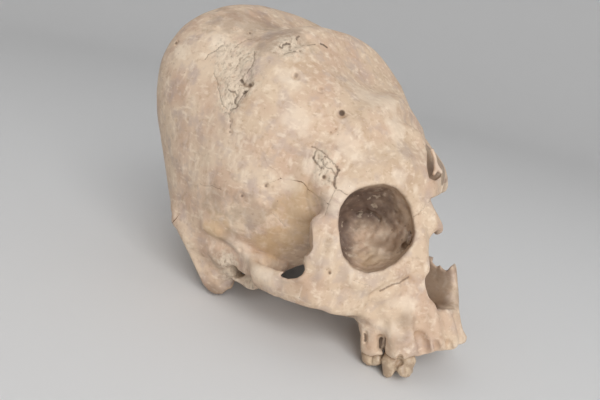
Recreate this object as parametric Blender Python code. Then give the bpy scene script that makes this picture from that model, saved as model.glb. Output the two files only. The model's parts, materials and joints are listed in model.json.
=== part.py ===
"""A human cranium without its jaw, as an assembly of the separate bones that a real one is made of.

Everything is modelled in the skull's own frame: the origin lies midway between the ear openings, +X is the
skull's left, -Y is forward (the face) and +Z is up. The bones hang on one empty, which tips that frame into
the attitude in which the cranium stands on a table.

The skull is blocked out as one bone form, hollowed, and then sawn along its sutures. Each saw cell is a
closed solid: what lies in it becomes one bone, and what is left over loses the cell and the suture's gap.
Places in the face and the base are shares of its half breadth (outwards), depth (forwards) and height (up).
"""

import bmesh
import bpy
import numpy as np
from mathutils import Matrix, Vector

# Braincase: half-axes of its outer form about its own centre, which lies behind and above the ears.
VAULT_HALF_BREADTH = 0.0718
VAULT_FRONT = 0.0725
VAULT_BACK = 0.0640
VAULT_RISE = 0.0985
VAULT_DROP = 0.0550
VAULT_SETBACK = 0.0010
VAULT_HEIGHT = 0.0488
VAULT_CENTRE = Vector((0, VAULT_SETBACK, VAULT_HEIGHT))
VAULT_POWER = 2.4
VAULT_WALL = 0.0042

# The bound and flattened growth: swellings (+) and hollows (-) of the braincase.
PARIETAL_SWELL = 0.0110
CORONAL_HOLLOW = -0.0195
FOREHEAD_FLAT = -0.0170
OCCIPUT_SWELL = 0.0050
TEMPLE_HOLLOW = -0.0060

# Face: the box that its places are shares of.
FACE_HALF_BREADTH = 0.065
FACE_DEPTH = 0.095
FACE_HEIGHT = 0.069
BALL = 0.010

# Openings.
ORBIT_WIDTH = 0.592 * FACE_HALF_BREADTH
ORBIT_HEIGHT = 0.529 * FACE_HEIGHT
ORBIT_ROOF = 0.0030
NOSE_WIDTH = 0.0235
NOSE_HEIGHT = 0.0350
SEPTUM_WALL = 0.0020
MAGNUM_WIDTH = 0.0300
MAGNUM_LENGTH = 0.0340
FOSSA_CLEARANCE = 0.0010
EAR_BORE = 0.0080
EAR_DEPTH = 0.0160

# Teeth.
MOLAR_LENGTH = 0.0115
MOLAR_BREADTH = 0.0120
CROWN_HEIGHT = 0.0074
ROOT_LENGTH = 0.0120
ROOT_SPLAY_SHARE = 0.90
ROOT_TIP_SHARE = 0.45
TOOTH_GRAIN = 0.0005
TOOTH_ROUNDS = 4
TOOTH_KEEP_SHARE = 0.045
SOCKET_KEEP_SHARE = 0.035
SOCKET_GAP = 0.0005

# Sutures.
SUTURE_GAP = 0.0004
SERRATION = 0.0016
SAW_REACH = 0.250
WELD = 0.000004

# Working grain of the blocked-out form.
GRAIN = 0.0018
KEEP_SHARE = 0.040
SMOOTH_ROUNDS = 9
FLOOR_ROUNDS = 4
FLOOR_KEEP_SHARE = 0.025

# Attitude on the ground and shading. The lowest points are worn level to this depth.
REST_FLAT = 0.0006
PITCH_LIMIT = np.pi / 3
PITCH_ROUNDS = 40
SHARP_ANGLE = np.pi / 5

RIGHT, LEFT = -1, 1

# Fineness of the round forms.
OUTER_STEPS, INNER_STEPS, CLEAR_STEPS, BALL_STEPS = 5, 3, 4, 2
ORBIT_SIDES, NOSE_SIDES, BORE_SIDES = 20, 16, 20

# One row for each swelling: direction from the vault's centre, spread along x, y and z, and its height.
VAULT_FORM_SHARES = (
    ((0.55, 0.18, 0.57), (0.40, 0.40, 0.40), PARIETAL_SWELL),
    ((-0.55, 0.18, 0.57), (0.40, 0.40, 0.40), PARIETAL_SWELL),
    ((0.0, -0.25, 0.95), (0.75, 0.20, 0.45), CORONAL_HOLLOW),
    ((0.0, -0.72, 0.69), (0.60, 0.34, 0.34), FOREHEAD_FLAT),
    ((0.0, 0.90, 0.30), (0.60, 0.40, 0.50), OCCIPUT_SWELL),
    ((0.75, -0.62, -0.35), (0.25, 0.25, 0.35), TEMPLE_HOLLOW),
    ((-0.75, -0.62, -0.35), (0.25, 0.25, 0.35), TEMPLE_HOLLOW),
)


def vault_radius(directions):
    """Distance from the vault's centre to its outer face along unit directions, an N x 3 array."""
    front = directions[:, 1] < 0
    above = directions[:, 2] > 0
    half_axes = np.column_stack((
        np.full(len(directions), VAULT_HALF_BREADTH),
        np.where(front, VAULT_FRONT, VAULT_BACK),
        np.where(above, VAULT_RISE, VAULT_DROP),
    ))
    radius = (np.abs(directions / half_axes) ** VAULT_POWER).sum(axis=1) ** (-1 / VAULT_POWER)
    for towards, spread, height in VAULT_FORM_SHARES:
        middle = np.array(towards) / np.linalg.norm(towards)
        away = ((directions - middle) / np.array(spread)) ** 2
        radius = radius + height * np.exp(-away.sum(axis=1))
    return radius


def object_of(name, made):
    """The bmesh as an object of the scene."""
    mesh = bpy.data.meshes.new(name)
    made.to_mesh(mesh)
    made.free()
    obj = bpy.data.objects.new(name, mesh)
    bpy.context.scene.collection.objects.link(obj)
    return obj


def vault_solid(name, inset, steps):
    """The braincase's form, smaller by an inset all round."""
    made = bmesh.new()
    bmesh.ops.create_icosphere(made, subdivisions=steps, radius=1)
    directions = np.array([v.co for v in made.verts])
    directions /= np.linalg.norm(directions, axis=1)[:, None]
    for vertex, direction, radius in zip(made.verts, directions, vault_radius(directions)):
        vertex.co = Vector(direction * (radius - inset)) + VAULT_CENTRE
    return object_of(name, made)


def at(side, x_share, y_share, z_share):
    """A place in the face, on its right or left side."""
    return Vector((side * x_share * FACE_HALF_BREADTH, -y_share * FACE_DEPTH, z_share * FACE_HEIGHT))


def ball_directions():
    """Unit directions all round, as on a coarse ball."""
    ball = bmesh.new()
    bmesh.ops.create_icosphere(ball, subdivisions=BALL_STEPS, radius=1)
    directions = [vertex.co.copy() for vertex in ball.verts]
    ball.free()
    return directions


def hull_solid(name, made):
    """The tight skin around a bmesh's loose points."""
    hull = bmesh.ops.convex_hull(made, input=made.verts)
    spare = [g for g in hull["geom_interior"] + hull["geom_unused"] if isinstance(g, bmesh.types.BMVert)]
    bmesh.ops.delete(made, geom=list(set(spare)), context="VERTS")
    bmesh.ops.recalc_face_normals(made, faces=made.faces)
    return object_of(name, made)


def hull_of_balls(name, side, balls, spare=0):
    """The skin around balls, each (x, y, z, radius) in shares, swollen by a spare length."""
    made = bmesh.new()
    directions = ball_directions()
    for x_share, y_share, z_share, ball_share in balls:
        for direction in directions:
            made.verts.new(at(side, x_share, y_share, z_share) + direction * (ball_share * BALL + spare))
    return hull_solid(name, made)


def hull_of_points(name, side, points, spare):
    """The skin around points in shares; with a spare length it stands off by that all round."""
    made = bmesh.new()
    for shares in points:
        middle = at(side, *shares)
        for axis in range(3):
            for way in (-1, 1):
                corner = middle.copy()
                corner[axis] += way * spare
                made.verts.new(corner)
    bmesh.ops.remove_doubles(made, verts=made.verts, dist=WELD)
    return hull_solid(name, made)


BROW_SHARES = (
    (0.00, 0.850, 0.57, 0.60), (0.23, 0.840, 0.61, 0.55), (0.42, 0.790, 0.61, 0.50),
    (0.60, 0.720, 0.56, 0.48), (0.74, 0.660, 0.45, 0.45),
    (0.00, 0.460, 0.96, 2.20), (0.38, 0.420, 0.90, 2.20), (0.60, 0.480, 0.50, 0.90),
)
GLABELLA_SHARES = (
    (0.00, 0.845, 0.50, 0.70), (0.16, 0.845, 0.54, 0.55), (0.00, 0.870, 0.42, 0.40),
    (0.10, 0.500, 0.60, 0.80),
)
ORBIT_BLOCK_SHARES = (
    (0.12, 0.830, 0.28, 0.40), (0.23, 0.830, 0.56, 0.50), (0.55, 0.755, 0.55, 0.45),
    (0.76, 0.660, 0.42, 0.42), (0.76, 0.650, 0.10, 0.42), (0.58, 0.750, -0.06, 0.45),
    (0.25, 0.810, 0.06, 0.40), (0.15, 0.400, 0.40, 1.00), (0.15, 0.400, 0.10, 1.00),
    (0.52, 0.430, 0.20, 0.80),
)
ZYGOMA_SHARES = (
    (0.77, 0.660, 0.12, 0.42), (0.60, 0.760, -0.07, 0.42), (0.62, 0.680, -0.28, 0.45),
    (0.86, 0.560, -0.06, 0.40), (0.77, 0.600, -0.26, 0.42), (0.70, 0.640, 0.00, 0.45),
)
RIM_SHARES = (
    (0.76, 0.665, 0.45, 0.45), (0.78, 0.655, 0.25, 0.42), (0.77, 0.660, 0.10, 0.48),
    (0.69, 0.715, -0.03, 0.48), (0.58, 0.760, -0.08, 0.46), (0.42, 0.800, -0.03, 0.42),
    (0.27, 0.820, 0.09, 0.40),
)
ARCH_TOP_SHARES = (
    (0.87, 0.560, -0.02, 0.36), (0.94, 0.440, -0.01, 0.32), (0.965, 0.280, 0.00, 0.30),
    (0.95, 0.100, 0.04, 0.34), (0.90, -0.050, 0.13, 0.45), (0.88, -0.220, 0.24, 0.45),
)
ARCH_LOW_SHARES = (
    (0.85, 0.560, -0.22, 0.38), (0.91, 0.440, -0.17, 0.34), (0.945, 0.280, -0.11, 0.30),
    (0.94, 0.120, -0.03, 0.34), (0.88, 0.020, 0.05, 0.40), (0.86, -0.150, 0.12, 0.45),
)
MAXILLA_SHARES = (
    (0.25, 0.800, 0.06, 0.40), (0.56, 0.750, -0.09, 0.42), (0.57, 0.670, -0.26, 0.50),
    (0.36, 0.640, -0.46, 0.60), (0.34, 0.760, -0.48, 0.55), (0.22, 0.865, -0.38, 0.45),
    (0.20, 0.865, -0.13, 0.38),
    (0.20, 0.520, 0.05, 0.60), (0.28, 0.530, -0.30, 0.60),
)
FRONTAL_PROCESS_SHARES = (
    (0.22, 0.850, 0.00, 0.44), (0.17, 0.850, 0.22, 0.42), (0.12, 0.860, 0.40, 0.42),
)
APERTURE_RIM_SHARES = (
    (0.10, 0.870, 0.17, 0.36), (0.15, 0.872, 0.02, 0.38), (0.20, 0.872, -0.14, 0.38),
    (0.22, 0.868, -0.30, 0.40),
)
NASAL_ROOF_SHARES = (
    (0.00, 0.870, 0.40, 0.42), (0.00, 0.920, 0.17, 0.26), (0.10, 0.870, 0.17, 0.28),
    (0.12, 0.860, 0.36, 0.36),
)
ALVEOLAR_TOP_SHARES = (
    (0.00, 0.895, -0.42, 0.42), (0.12, 0.890, -0.42, 0.44), (0.24, 0.855, -0.40, 0.48),
    (0.33, 0.790, -0.41, 0.54), (0.37, 0.700, -0.42, 0.58), (0.36, 0.630, -0.42, 0.56),
    (0.34, 0.590, -0.38, 0.46),
)
ALVEOLAR_LOW_SHARES = (
    (0.00, 0.950, -0.61, 0.36), (0.12, 0.945, -0.61, 0.38), (0.25, 0.895, -0.60, 0.42),
    (0.34, 0.810, -0.60, 0.48), (0.38, 0.730, -0.60, 0.54), (0.39, 0.650, -0.58, 0.54),
    (0.35, 0.600, -0.52, 0.46),
)
MOLAR_WALL_SHARES = (
    (0.440, 0.820, -0.635, 0.20), (0.300, 0.800, -0.635, 0.20), (0.465, 0.600, -0.600, 0.20),
    (0.320, 0.590, -0.600, 0.20), (0.400, 0.800, -0.420, 0.30), (0.300, 0.800, -0.420, 0.30),
    (0.420, 0.620, -0.420, 0.30), (0.300, 0.620, -0.420, 0.30),
)
PALATE_SHARES = (
    (0.00, 0.880, -0.43, 0.28), (0.28, 0.800, -0.44, 0.30), (0.36, 0.500, -0.44, 0.30),
    (0.00, 0.480, -0.42, 0.26),
)
PTERYGOID_SHARES = (
    (0.20, 0.430, 0.05, 0.70), (0.23, 0.440, -0.25, 0.44), (0.21, 0.430, -0.46, 0.32),
    (0.32, 0.370, -0.36, 0.22),
)
SKULL_BASE_SHARES = (
    (0.00, 0.420, 0.12, 1.00), (0.00, 0.050, 0.02, 0.60), (0.25, 0.350, 0.12, 0.90),
    (0.25, 0.050, 0.04, 0.60),
)
MASTOID_SHARES = (
    (0.78, -0.120, 0.12, 0.90), (0.79, -0.180, -0.115, 0.75), (0.82, -0.320, 0.15, 0.80),
    (0.66, -0.250, 0.05, 0.90),
)
TYMPANIC_SHARES = (
    (0.80, 0.005, 0.00, 0.66), (0.70, 0.020, -0.15, 0.30), (0.48, 0.050, 0.00, 0.75),
)
EMINENCE_SHARES = (
    (0.80, 0.200, 0.00, 0.45), (0.60, 0.180, 0.00, 0.45),
)
JOINT_ROOF_SHARES = (
    (0.92, 0.150, 0.04, 0.34), (0.89, -0.050, 0.11, 0.40), (0.66, 0.160, 0.06, 0.50),
    (0.66, -0.050, 0.08, 0.50),
)
CONDYLE_SHARES = (
    (0.29, -0.040, -0.07, 0.60), (0.34, -0.160, -0.09, 0.60),
)


def bone_lumps():
    """The overlapping lumps that the outer form is blocked out from."""
    lumps = [vault_solid("vault_form", 0, OUTER_STEPS)]
    for side in (RIGHT, LEFT):
        for balls in (BROW_SHARES, GLABELLA_SHARES, ORBIT_BLOCK_SHARES, ZYGOMA_SHARES, MAXILLA_SHARES,
                      NASAL_ROOF_SHARES, MOLAR_WALL_SHARES, PALATE_SHARES, PTERYGOID_SHARES,
                      SKULL_BASE_SHARES, MASTOID_SHARES, TYMPANIC_SHARES, EMINENCE_SHARES,
                      JOINT_ROOF_SHARES, CONDYLE_SHARES):
            lumps.append(hull_of_balls("lump", side, balls))
        for chain in (RIM_SHARES, FRONTAL_PROCESS_SHARES, APERTURE_RIM_SHARES):
            for pair in zip(chain, chain[1:]):
                lumps.append(hull_of_balls("lump", side, pair))
        for low, top in ((ALVEOLAR_LOW_SHARES, ALVEOLAR_TOP_SHARES), (ARCH_LOW_SHARES, ARCH_TOP_SHARES)):
            for n in range(len(low) - 1):
                lumps.append(hull_of_balls("lump", side, low[n:n + 2] + top[n:n + 2]))
    return lumps


def discard(*objects):
    """Remove what is used up."""
    for obj in objects:
        bpy.data.objects.remove(obj)


def settle(obj):
    """Apply the object's modifiers to its mesh."""
    bpy.context.view_layer.update()
    graph = bpy.context.evaluated_depsgraph_get()
    mesh = bpy.data.meshes.new_from_object(obj.evaluated_get(graph))
    obj.modifiers.clear()
    obj.data = mesh
    return obj


def copy_of(obj, name):
    """A second object of the same form."""
    twin = bpy.data.objects.new(name, obj.data.copy())
    bpy.context.scene.collection.objects.link(twin)
    return twin


def combined(obj, tool, operation, solver="EXACT"):
    """The object after one Boolean with a tool, which is used up. EXACT loses a palatine bone to the saw."""
    step = obj.modifiers.new("saw", "BOOLEAN")
    step.operation = operation
    step.solver = solver
    step.object = tool
    settle(obj)
    discard(tool)
    return obj


def melted(name, lumps, rounds, keep_share, grain=GRAIN):
    """The lumps made one closed skin, smoothed over and thinned to a share of its faces."""
    made = bmesh.new()
    for lump in lumps:
        made.from_mesh(lump.data)
    discard(*lumps)
    obj = object_of(name, made)
    remesh = obj.modifiers.new("melt", "REMESH")
    remesh.mode = "VOXEL"
    remesh.voxel_size = grain
    smooth = obj.modifiers.new("smooth", "SMOOTH")
    smooth.iterations = rounds
    thin = obj.modifiers.new("thin", "DECIMATE")
    thin.ratio = keep_share
    return settle(obj)


def loft(name, rings):
    """A closed solid through rings of equally many points, each a list of Vectors."""
    made = bmesh.new()
    loops = [[made.verts.new(point) for point in ring] for ring in rings]
    for low, high in zip(loops, loops[1:]):
        for n in range(len(low)):
            after = (n + 1) % len(low)
            made.faces.new((low[n], low[after], high[after], high[n]))
    made.faces.new(loops[0][::-1])
    made.faces.new(loops[-1])
    bmesh.ops.triangulate(made, faces=made.faces)
    bmesh.ops.recalc_face_normals(made, faces=made.faces)
    return object_of(name, made)


# Orbit: places of its mouth and its apex, and for stations along that axis the share of the mouth's size.
ORBIT_MOUTH_SHARES = (0.465, 0.745, 0.24)
ORBIT_APEX_SHARES = (0.20, 0.430, 0.27)
ORBIT_TILT_SHARES = (0.40, -0.16)
ORBIT_RING_SHARES = (
    (-0.02, 0.10), (0.20, 0.36), (0.45, 0.68), (0.70, 0.93), (0.88, 1.03), (1.00, 1.00), (1.50, 1.10),
)
ORBIT_POWER = 2.5


def orbit_cutter(side, spare=0):
    """A rounded four-sided cone, widest just behind the rim; its mouth faces forwards and outwards."""
    apex = at(side, *ORBIT_APEX_SHARES)
    mouth = at(side, *ORBIT_MOUTH_SHARES)
    outwards_back, upwards_forward = ORBIT_TILT_SHARES
    across = Vector((side, outwards_back, 0)).normalized()
    upwards = Vector((0, upwards_forward, 1)).normalized()
    rings = []
    for along_share, size_share in ORBIT_RING_SHARES:
        middle = apex.lerp(mouth, along_share)
        ring = []
        for n in range(ORBIT_SIDES):
            turn = 2 * np.pi * (n + 0.5) / ORBIT_SIDES
            cosine, sine = np.cos(turn), np.sin(turn)
            reach = (abs(cosine) ** ORBIT_POWER + abs(sine) ** ORBIT_POWER) ** (-1 / ORBIT_POWER)
            wide = (ORBIT_WIDTH / 2 * size_share + spare) * reach * cosine
            high = (ORBIT_HEIGHT / 2 * size_share + spare) * reach * sine
            ring.append(middle + across * wide + upwards * high)
        rings.append(ring)
    return loft("orbit_cutter", rings)


# Nasal cavity: stations along its depth, its middle's height, and shares of its mouth's width and height.
NOSE_RING_SHARES = (
    (1.20, -0.125, 1.00, 1.00), (0.86, -0.125, 1.00, 1.00), (0.80, -0.110, 1.04, 1.08),
    (0.62, -0.090, 1.10, 1.14), (0.42, -0.180, 1.00, 0.76), (0.28, -0.210, 1.05, 0.80),
)
NOSE_TAPER = 0.42
SEPTUM_SHARES = ((0, 0.66, -0.45), (0, 0.62, 0.30), (0, 0.34, 0.20), (0, 0.40, -0.45))


def nose_cutter():
    """The pear-shaped opening and the passage behind it, with the septum left standing in its back half."""
    rings = []
    for depth_share, height_share, wide_share, high_share in NOSE_RING_SHARES:
        ring = []
        for n in range(NOSE_SIDES):
            turn = 2 * np.pi * (n + 0.5) / NOSE_SIDES
            swell = 1 - NOSE_TAPER * np.cos(turn)
            wide = NOSE_WIDTH / 2 * wide_share * np.sin(turn) * swell
            high = NOSE_HEIGHT / 2 * high_share * np.cos(turn)
            ring.append(at(1, 0, depth_share, height_share) + Vector((wide, 0, high)))
        rings.append(ring)
    septum = hull_of_points("septum", 1, SEPTUM_SHARES, SEPTUM_WALL / 2)
    return combined(loft("nose_cutter", rings), septum, "DIFFERENCE")


# Braincase floor: what stands up into the cavity.
FOSSA_FLOOR_SHARES = (
    (0.00, 0.850, 0.45, 0.30), (0.45, 0.720, 0.50, 0.30), (0.15, 0.440, 0.44, 0.40),
    (0.45, 0.480, 0.38, 0.50), (0.00, 0.850, -0.20, 0.30), (0.55, 0.480, -0.10, 0.30),
    (0.00, 0.420, -0.20, 0.30),
)
SELLA_SHARES = ((0.00, 0.400, 0.22, 0.90), (0.00, 0.080, 0.05, 0.50))
PETROUS_SHARES = ((0.20, 0.080, 0.08, 0.55), (0.50, -0.060, 0.14, 0.80), (0.74, -0.200, 0.18, 0.90))


def braincase_cutter():
    """The cranial cavity: the vault's form less its wall, over the orbits' roofs and the petrous ridges."""
    lumps = []
    for side in (RIGHT, LEFT):
        lumps.append(orbit_cutter(side, ORBIT_ROOF))
        for balls in (FOSSA_FLOOR_SHARES, SELLA_SHARES, PETROUS_SHARES):
            lumps.append(hull_of_balls("floor", side, balls))
    floor = melted("floor", lumps, FLOOR_ROUNDS, FLOOR_KEEP_SHARE)
    return combined(vault_solid("braincase_cutter", VAULT_WALL, INNER_STEPS), floor, "DIFFERENCE")


TEMPORAL_FOSSA_SHARES = (
    (0.72, 0.520, 0.10, 0.50), (0.74, 0.300, 0.10, 0.60), (0.70, 0.520, -0.40, 0.80),
    (0.74, 0.250, -0.40, 0.80), (0.55, 0.470, -0.30, 0.60), (0.55, 0.250, -0.30, 0.90),
    (0.70, 0.500, 0.40, 0.40), (0.80, 0.300, 0.20, 0.50), (0.70, 0.230, -0.60, 0.80),
    (0.70, 0.500, -0.80, 0.80),
)


def fossa_cutter(side):
    """The space inside the cheek arch, kept clear of the braincase."""
    space = hull_of_balls("fossa_cutter", side, TEMPORAL_FOSSA_SHARES)
    return combined(space, vault_solid("keep_clear", -FOSSA_CLEARANCE, CLEAR_STEPS), "DIFFERENCE")


def tube(name, middle, reach, bore, axis):
    """A plain round cutter about a middle point, along X or Z."""
    made = bmesh.new()
    turn = Matrix.Rotation(np.pi / 2, 4, "Y") if axis == "X" else Matrix.Identity(4)
    bmesh.ops.create_cone(made, cap_ends=True, segments=BORE_SIDES, radius1=bore / 2, radius2=bore / 2,
                          depth=reach, matrix=Matrix.Translation(middle) @ turn)
    return object_of(name, made)


EAR_SHARES = (0.80, 0.000, 0.00)
MAGNUM_SHARES = (0, -0.170, -0.10)


def magnum_cutter():
    """The oval way in for the spinal cord."""
    cutter = tube("magnum_cutter", Vector(), MAGNUM_LENGTH, MAGNUM_WIDTH, "Z")
    for vertex in cutter.data.vertices:
        vertex.co.y *= MAGNUM_LENGTH / MAGNUM_WIDTH
        vertex.co += at(1, *MAGNUM_SHARES)
    return cutter


def ear_cutter(side):
    """The ear canal's outer end."""
    middle = at(side, *EAR_SHARES) + Vector((side * EAR_DEPTH / 2, 0, 0))
    return tube("ear_cutter", middle, 2 * EAR_DEPTH, EAR_BORE, "X")


# Each tooth: its neck's place, how far its row has turned there, its size and its crown's share of height.
MOLARS = {
    "first_molar_right": ((0.368, 0.756, -0.680), 0.16, 1.00, 1.00),
    "second_molar_right": ((0.392, 0.640, -0.645), 0.06, 0.88, 0.52),
}
CUSP_SHARE, NECK_SHARE, ROOT_SHARE = 0.20, 0.19, 0.17
CUSP_CORNERS = ((-1, -1), (-1, 1), (1, -1), (1, 1))
CUSP_SPREAD_SHARE, NECK_SPREAD_SHARE = 0.32, 0.27
ROOT_SPREAD_SHARES = ((0.26, 0.26), (0.26, -0.26), (-0.32, 0.00))


def tooth_frame(side, place_shares, turn):
    """The tooth's neck, and the directions outwards to the cheek and forwards along the row there."""
    outwards = Vector((side * np.cos(turn), -np.sin(turn), 0))
    forwards = Vector((-side * np.sin(turn), -np.cos(turn), 0))
    return at(side, *place_shares), outwards, forwards


def hull_between(name, balls):
    """The skin around balls given as (place, radius)."""
    made = bmesh.new()
    for middle, radius in balls:
        for direction in ball_directions():
            made.verts.new(middle + direction * radius)
    return hull_solid(name, made)


def tooth_roots(side, place_shares, turn, size_share, spare):
    """Two roots on the cheek's side and one on the palate's, splayed and tapering."""
    neck, outwards, forwards = tooth_frame(side, place_shares, turn)
    roots = []
    for out_share, forward_share in ROOT_SPREAD_SHARES:
        top = neck + outwards * MOLAR_BREADTH * out_share * size_share
        top += forwards * MOLAR_LENGTH * forward_share * size_share
        tip = neck + (top - neck) * ROOT_SPLAY_SHARE + Vector((0, 0, ROOT_LENGTH * size_share))
        wide = MOLAR_LENGTH * ROOT_SHARE * size_share
        roots.append(hull_between("root", ((top, wide + spare), (tip, wide * ROOT_TIP_SHARE + spare))))
    return roots


def tooth_lumps(side, place_shares, turn, size_share, crown_share, spare):
    """A worn upper molar: four low cusps, a waist at the neck and three roots, swollen by a spare length."""
    neck, outwards, forwards = tooth_frame(side, place_shares, turn)
    length, breadth = MOLAR_LENGTH * size_share, MOLAR_BREADTH * size_share
    balls = []
    for out_way, forward_way in CUSP_CORNERS:
        for spread_share, ball_share, drop in (
            (CUSP_SPREAD_SHARE, CUSP_SHARE, CROWN_HEIGHT * crown_share - length * CUSP_SHARE),
            (NECK_SPREAD_SHARE, NECK_SHARE, 0),
        ):
            place = neck + outwards * out_way * breadth * spread_share
            place += forwards * forward_way * length * spread_share
            balls.append((place - Vector((0, 0, drop)), length * ball_share + spare))
    return [hull_between("crown", balls)] + tooth_roots(side, place_shares, turn, size_share, spare)


def teeth():
    """The two molars that are left."""
    return [melted(name, tooth_lumps(RIGHT, *details, 0), TOOTH_ROUNDS, TOOTH_KEEP_SHARE, TOOTH_GRAIN)
            for name, details in MOLARS.items()]


def socket_cutter():
    """The room that the teeth take up in their sockets."""
    lumps = []
    for details in MOLARS.values():
        lumps += tooth_lumps(RIGHT, *details, SOCKET_GAP)
    return melted("socket_cutter", lumps, 0, SOCKET_KEEP_SHARE, TOOTH_GRAIN)


def hollowed_skull():
    """The whole bone form with its cavities and openings, before it is sawn."""
    skull = melted("skull", bone_lumps(), SMOOTH_ROUNDS, KEEP_SHARE)
    skull = combined(skull, braincase_cutter(), "DIFFERENCE")
    skull = combined(skull, nose_cutter(), "DIFFERENCE")
    skull = combined(skull, magnum_cutter(), "DIFFERENCE")
    for side in (RIGHT, LEFT):
        skull = combined(skull, orbit_cutter(side), "DIFFERENCE")
        skull = combined(skull, fossa_cutter(side), "DIFFERENCE")
        skull = combined(skull, ear_cutter(side), "DIFFERENCE")
    return combined(skull, socket_cutter(), "DIFFERENCE")


# Saw cells of the braincase: places along the sutures, seen from the vault's centre.
BREGMA_SHARES = (0.00, 0.44, 1.80)
LAMBDA_SHARES = (0.00, -0.61, 1.23)
ASTERION_SHARES = (0.92, -0.44, 0.35)
PTERION_SHARES = (0.91, 0.44, 0.62)
SAGITTAL_SHARES = (BREGMA_SHARES, (0.00, 0.05, 2.00), (0.00, -0.32, 1.81), LAMBDA_SHARES)
LAMBDOID_SHARES = (LAMBDA_SHARES, (0.38, -0.59, 0.96), (0.69, -0.54, 0.70), ASTERION_SHARES)
SQUAMOUS_SHARES = (
    ASTERION_SHARES, (1.05, -0.27, 0.43), (1.09, -0.04, 0.64), (1.09, 0.12, 0.66), (1.05, 0.26, 0.62),
    (0.97, 0.37, 0.59), PTERION_SHARES,
)
CORONAL_SHARES = (
    PTERION_SHARES, (0.98, 0.38, 0.77), (1.03, 0.30, 0.96), (1.01, 0.29, 1.16), (0.92, 0.35, 1.36),
    (0.74, 0.42, 1.52), (0.43, 0.46, 1.65), BREGMA_SHARES,
)
SAGITTAL_TEETH, LAMBDOID_TEETH, CORONAL_TEETH = 14, 12, 16
FRONTAL_BACK_SHARES = ((0.00, 0.05, 2.00), (0.95, 0.25, 1.50), (1.15, 0.25, 0.90))
FRONTAL_FRONT_SHARES = (PTERION_SHARES, (0.86, 0.57, 0.58), (0.80, 0.67, 0.415), (0.185, 0.865, 0.385))
NASION_SHARES = (0.00, 0.885, 0.39)

# Saw cells of the face and the base: corners of convex solids.
NASAL_CELL_SHARES = (
    (0.00, 1.10, 0.12), (0.13, 1.10, 0.12), (0.13, 0.84, 0.12), (0.00, 0.84, 0.12),
    (0.00, 1.10, 0.39), (0.08, 1.10, 0.39), (0.08, 0.82, 0.39), (0.00, 0.82, 0.39),
)
LACRIMAL_CELL_SHARES = (
    (0.135, 0.840, 0.05), (0.25, 0.840, 0.05), (0.25, 0.755, 0.05), (0.135, 0.755, 0.05),
    (0.135, 0.840, 0.30), (0.25, 0.840, 0.30), (0.25, 0.755, 0.30), (0.135, 0.755, 0.30),
)
ETHMOID_CELL_SHARES = (
    (-0.24, 0.74, 0.03), (0.24, 0.74, 0.03), (-0.10, 0.83, 0.03), (0.10, 0.83, 0.03), (-0.20, 0.48, 0.03),
    (0.20, 0.48, 0.03), (-0.20, 0.74, 0.53), (0.20, 0.74, 0.53), (-0.10, 0.80, 0.53), (0.10, 0.80, 0.53),
    (-0.13, 0.48, 0.53), (0.13, 0.48, 0.53),
)
ZYGOMATIC_CELL_SHARES = (
    (0.60, 0.60, 0.415), (1.10, 0.54, 0.415), (1.10, 0.85, 0.415), (0.62, 0.85, 0.415), (0.50, 0.90, -0.02),
    (0.52, 0.66, -0.06), (0.62, 0.90, -0.45), (0.64, 0.60, -0.45), (1.10, 0.50, -0.45), (1.10, 0.85, -0.20),
    (0.70, 0.56, 0.10),
)
ZYGOMATIC_ARCH_CELL_SHARES = (
    (0.66, 0.62, -0.35), (1.20, 0.62, -0.35), (0.66, 0.62, 0.14), (1.20, 0.62, 0.14),
    (0.74, 0.36, -0.30), (1.20, 0.40, -0.30), (0.74, 0.36, 0.14), (1.20, 0.40, 0.14),
)
PALATINE_CELL_SHARES = (
    (0.00, 0.570, -0.60), (0.26, 0.570, -0.60), (0.00, 0.450, -0.60), (0.26, 0.450, -0.60),
    (0.00, 0.570, -0.07), (0.26, 0.570, -0.07), (0.00, 0.450, -0.07), (0.26, 0.450, -0.07),
)
VOMER_CELL_SHARES = (
    (-0.06, 0.68, -0.368), (0.06, 0.68, -0.368), (-0.06, 0.32, -0.368), (0.06, 0.32, -0.368),
    (-0.06, 0.68, 0.005), (0.06, 0.68, 0.005), (-0.06, 0.32, 0.005), (0.06, 0.32, 0.005),
)
MAXILLA_CELL_SHARES = (
    (0.00, 1.30, -1.00), (0.00, 0.49, -1.00), (0.85, 0.49, -1.00), (0.85, 1.30, -1.00), (0.00, 1.30, 0.42),
    (0.35, 1.30, 0.42), (0.35, 0.70, 0.42), (0.00, 0.70, 0.42), (0.85, 1.30, 0.00), (0.85, 0.49, -0.10),
    (0.33, 0.49, 0.08), (0.00, 0.49, 0.08),
)
LOST_RIM_SHARES = (
    (0.05, 1.00, -0.09), (0.75, 0.90, -0.15), (0.75, 0.55, -0.06), (0.10, 0.62, 0.02),
    (0.05, 1.00, 0.40), (0.75, 0.90, 0.40), (0.75, 0.55, 0.40), (0.15, 0.62, 0.40),
)
TEMPORAL_PLAN_SHARES = (
    (1.30, -0.52), (0.93, -0.46), (0.60, -0.31), (0.37, -0.12), (0.17, 0.10), (0.33, 0.20), (0.64, 0.27),
    (0.78, 0.37), (1.30, 0.37),
)
OCCIPITAL_PLAN_SHARES = ((-1.40, -0.95), (1.40, -0.95), (1.40, 0.14), (-1.40, 0.14))
PLAN_LOW_SHARE, PLAN_HIGH_SHARE = -0.80, 1.60


def stood_off(outline, across, gap):
    """The closed outline moved outwards by a gap; across(n) is the way out of the surface at point n."""
    moved = []
    for n, here in enumerate(outline):
        before, after = outline[n - 1], outline[(n + 1) % len(outline)]
        facing = across(n)
        first = (here - before).cross(facing).normalized()
        second = (after - here).cross(facing).normalized()
        moved.append(here + (first + second) * gap / (1 + first.dot(second)))
    return moved


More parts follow.
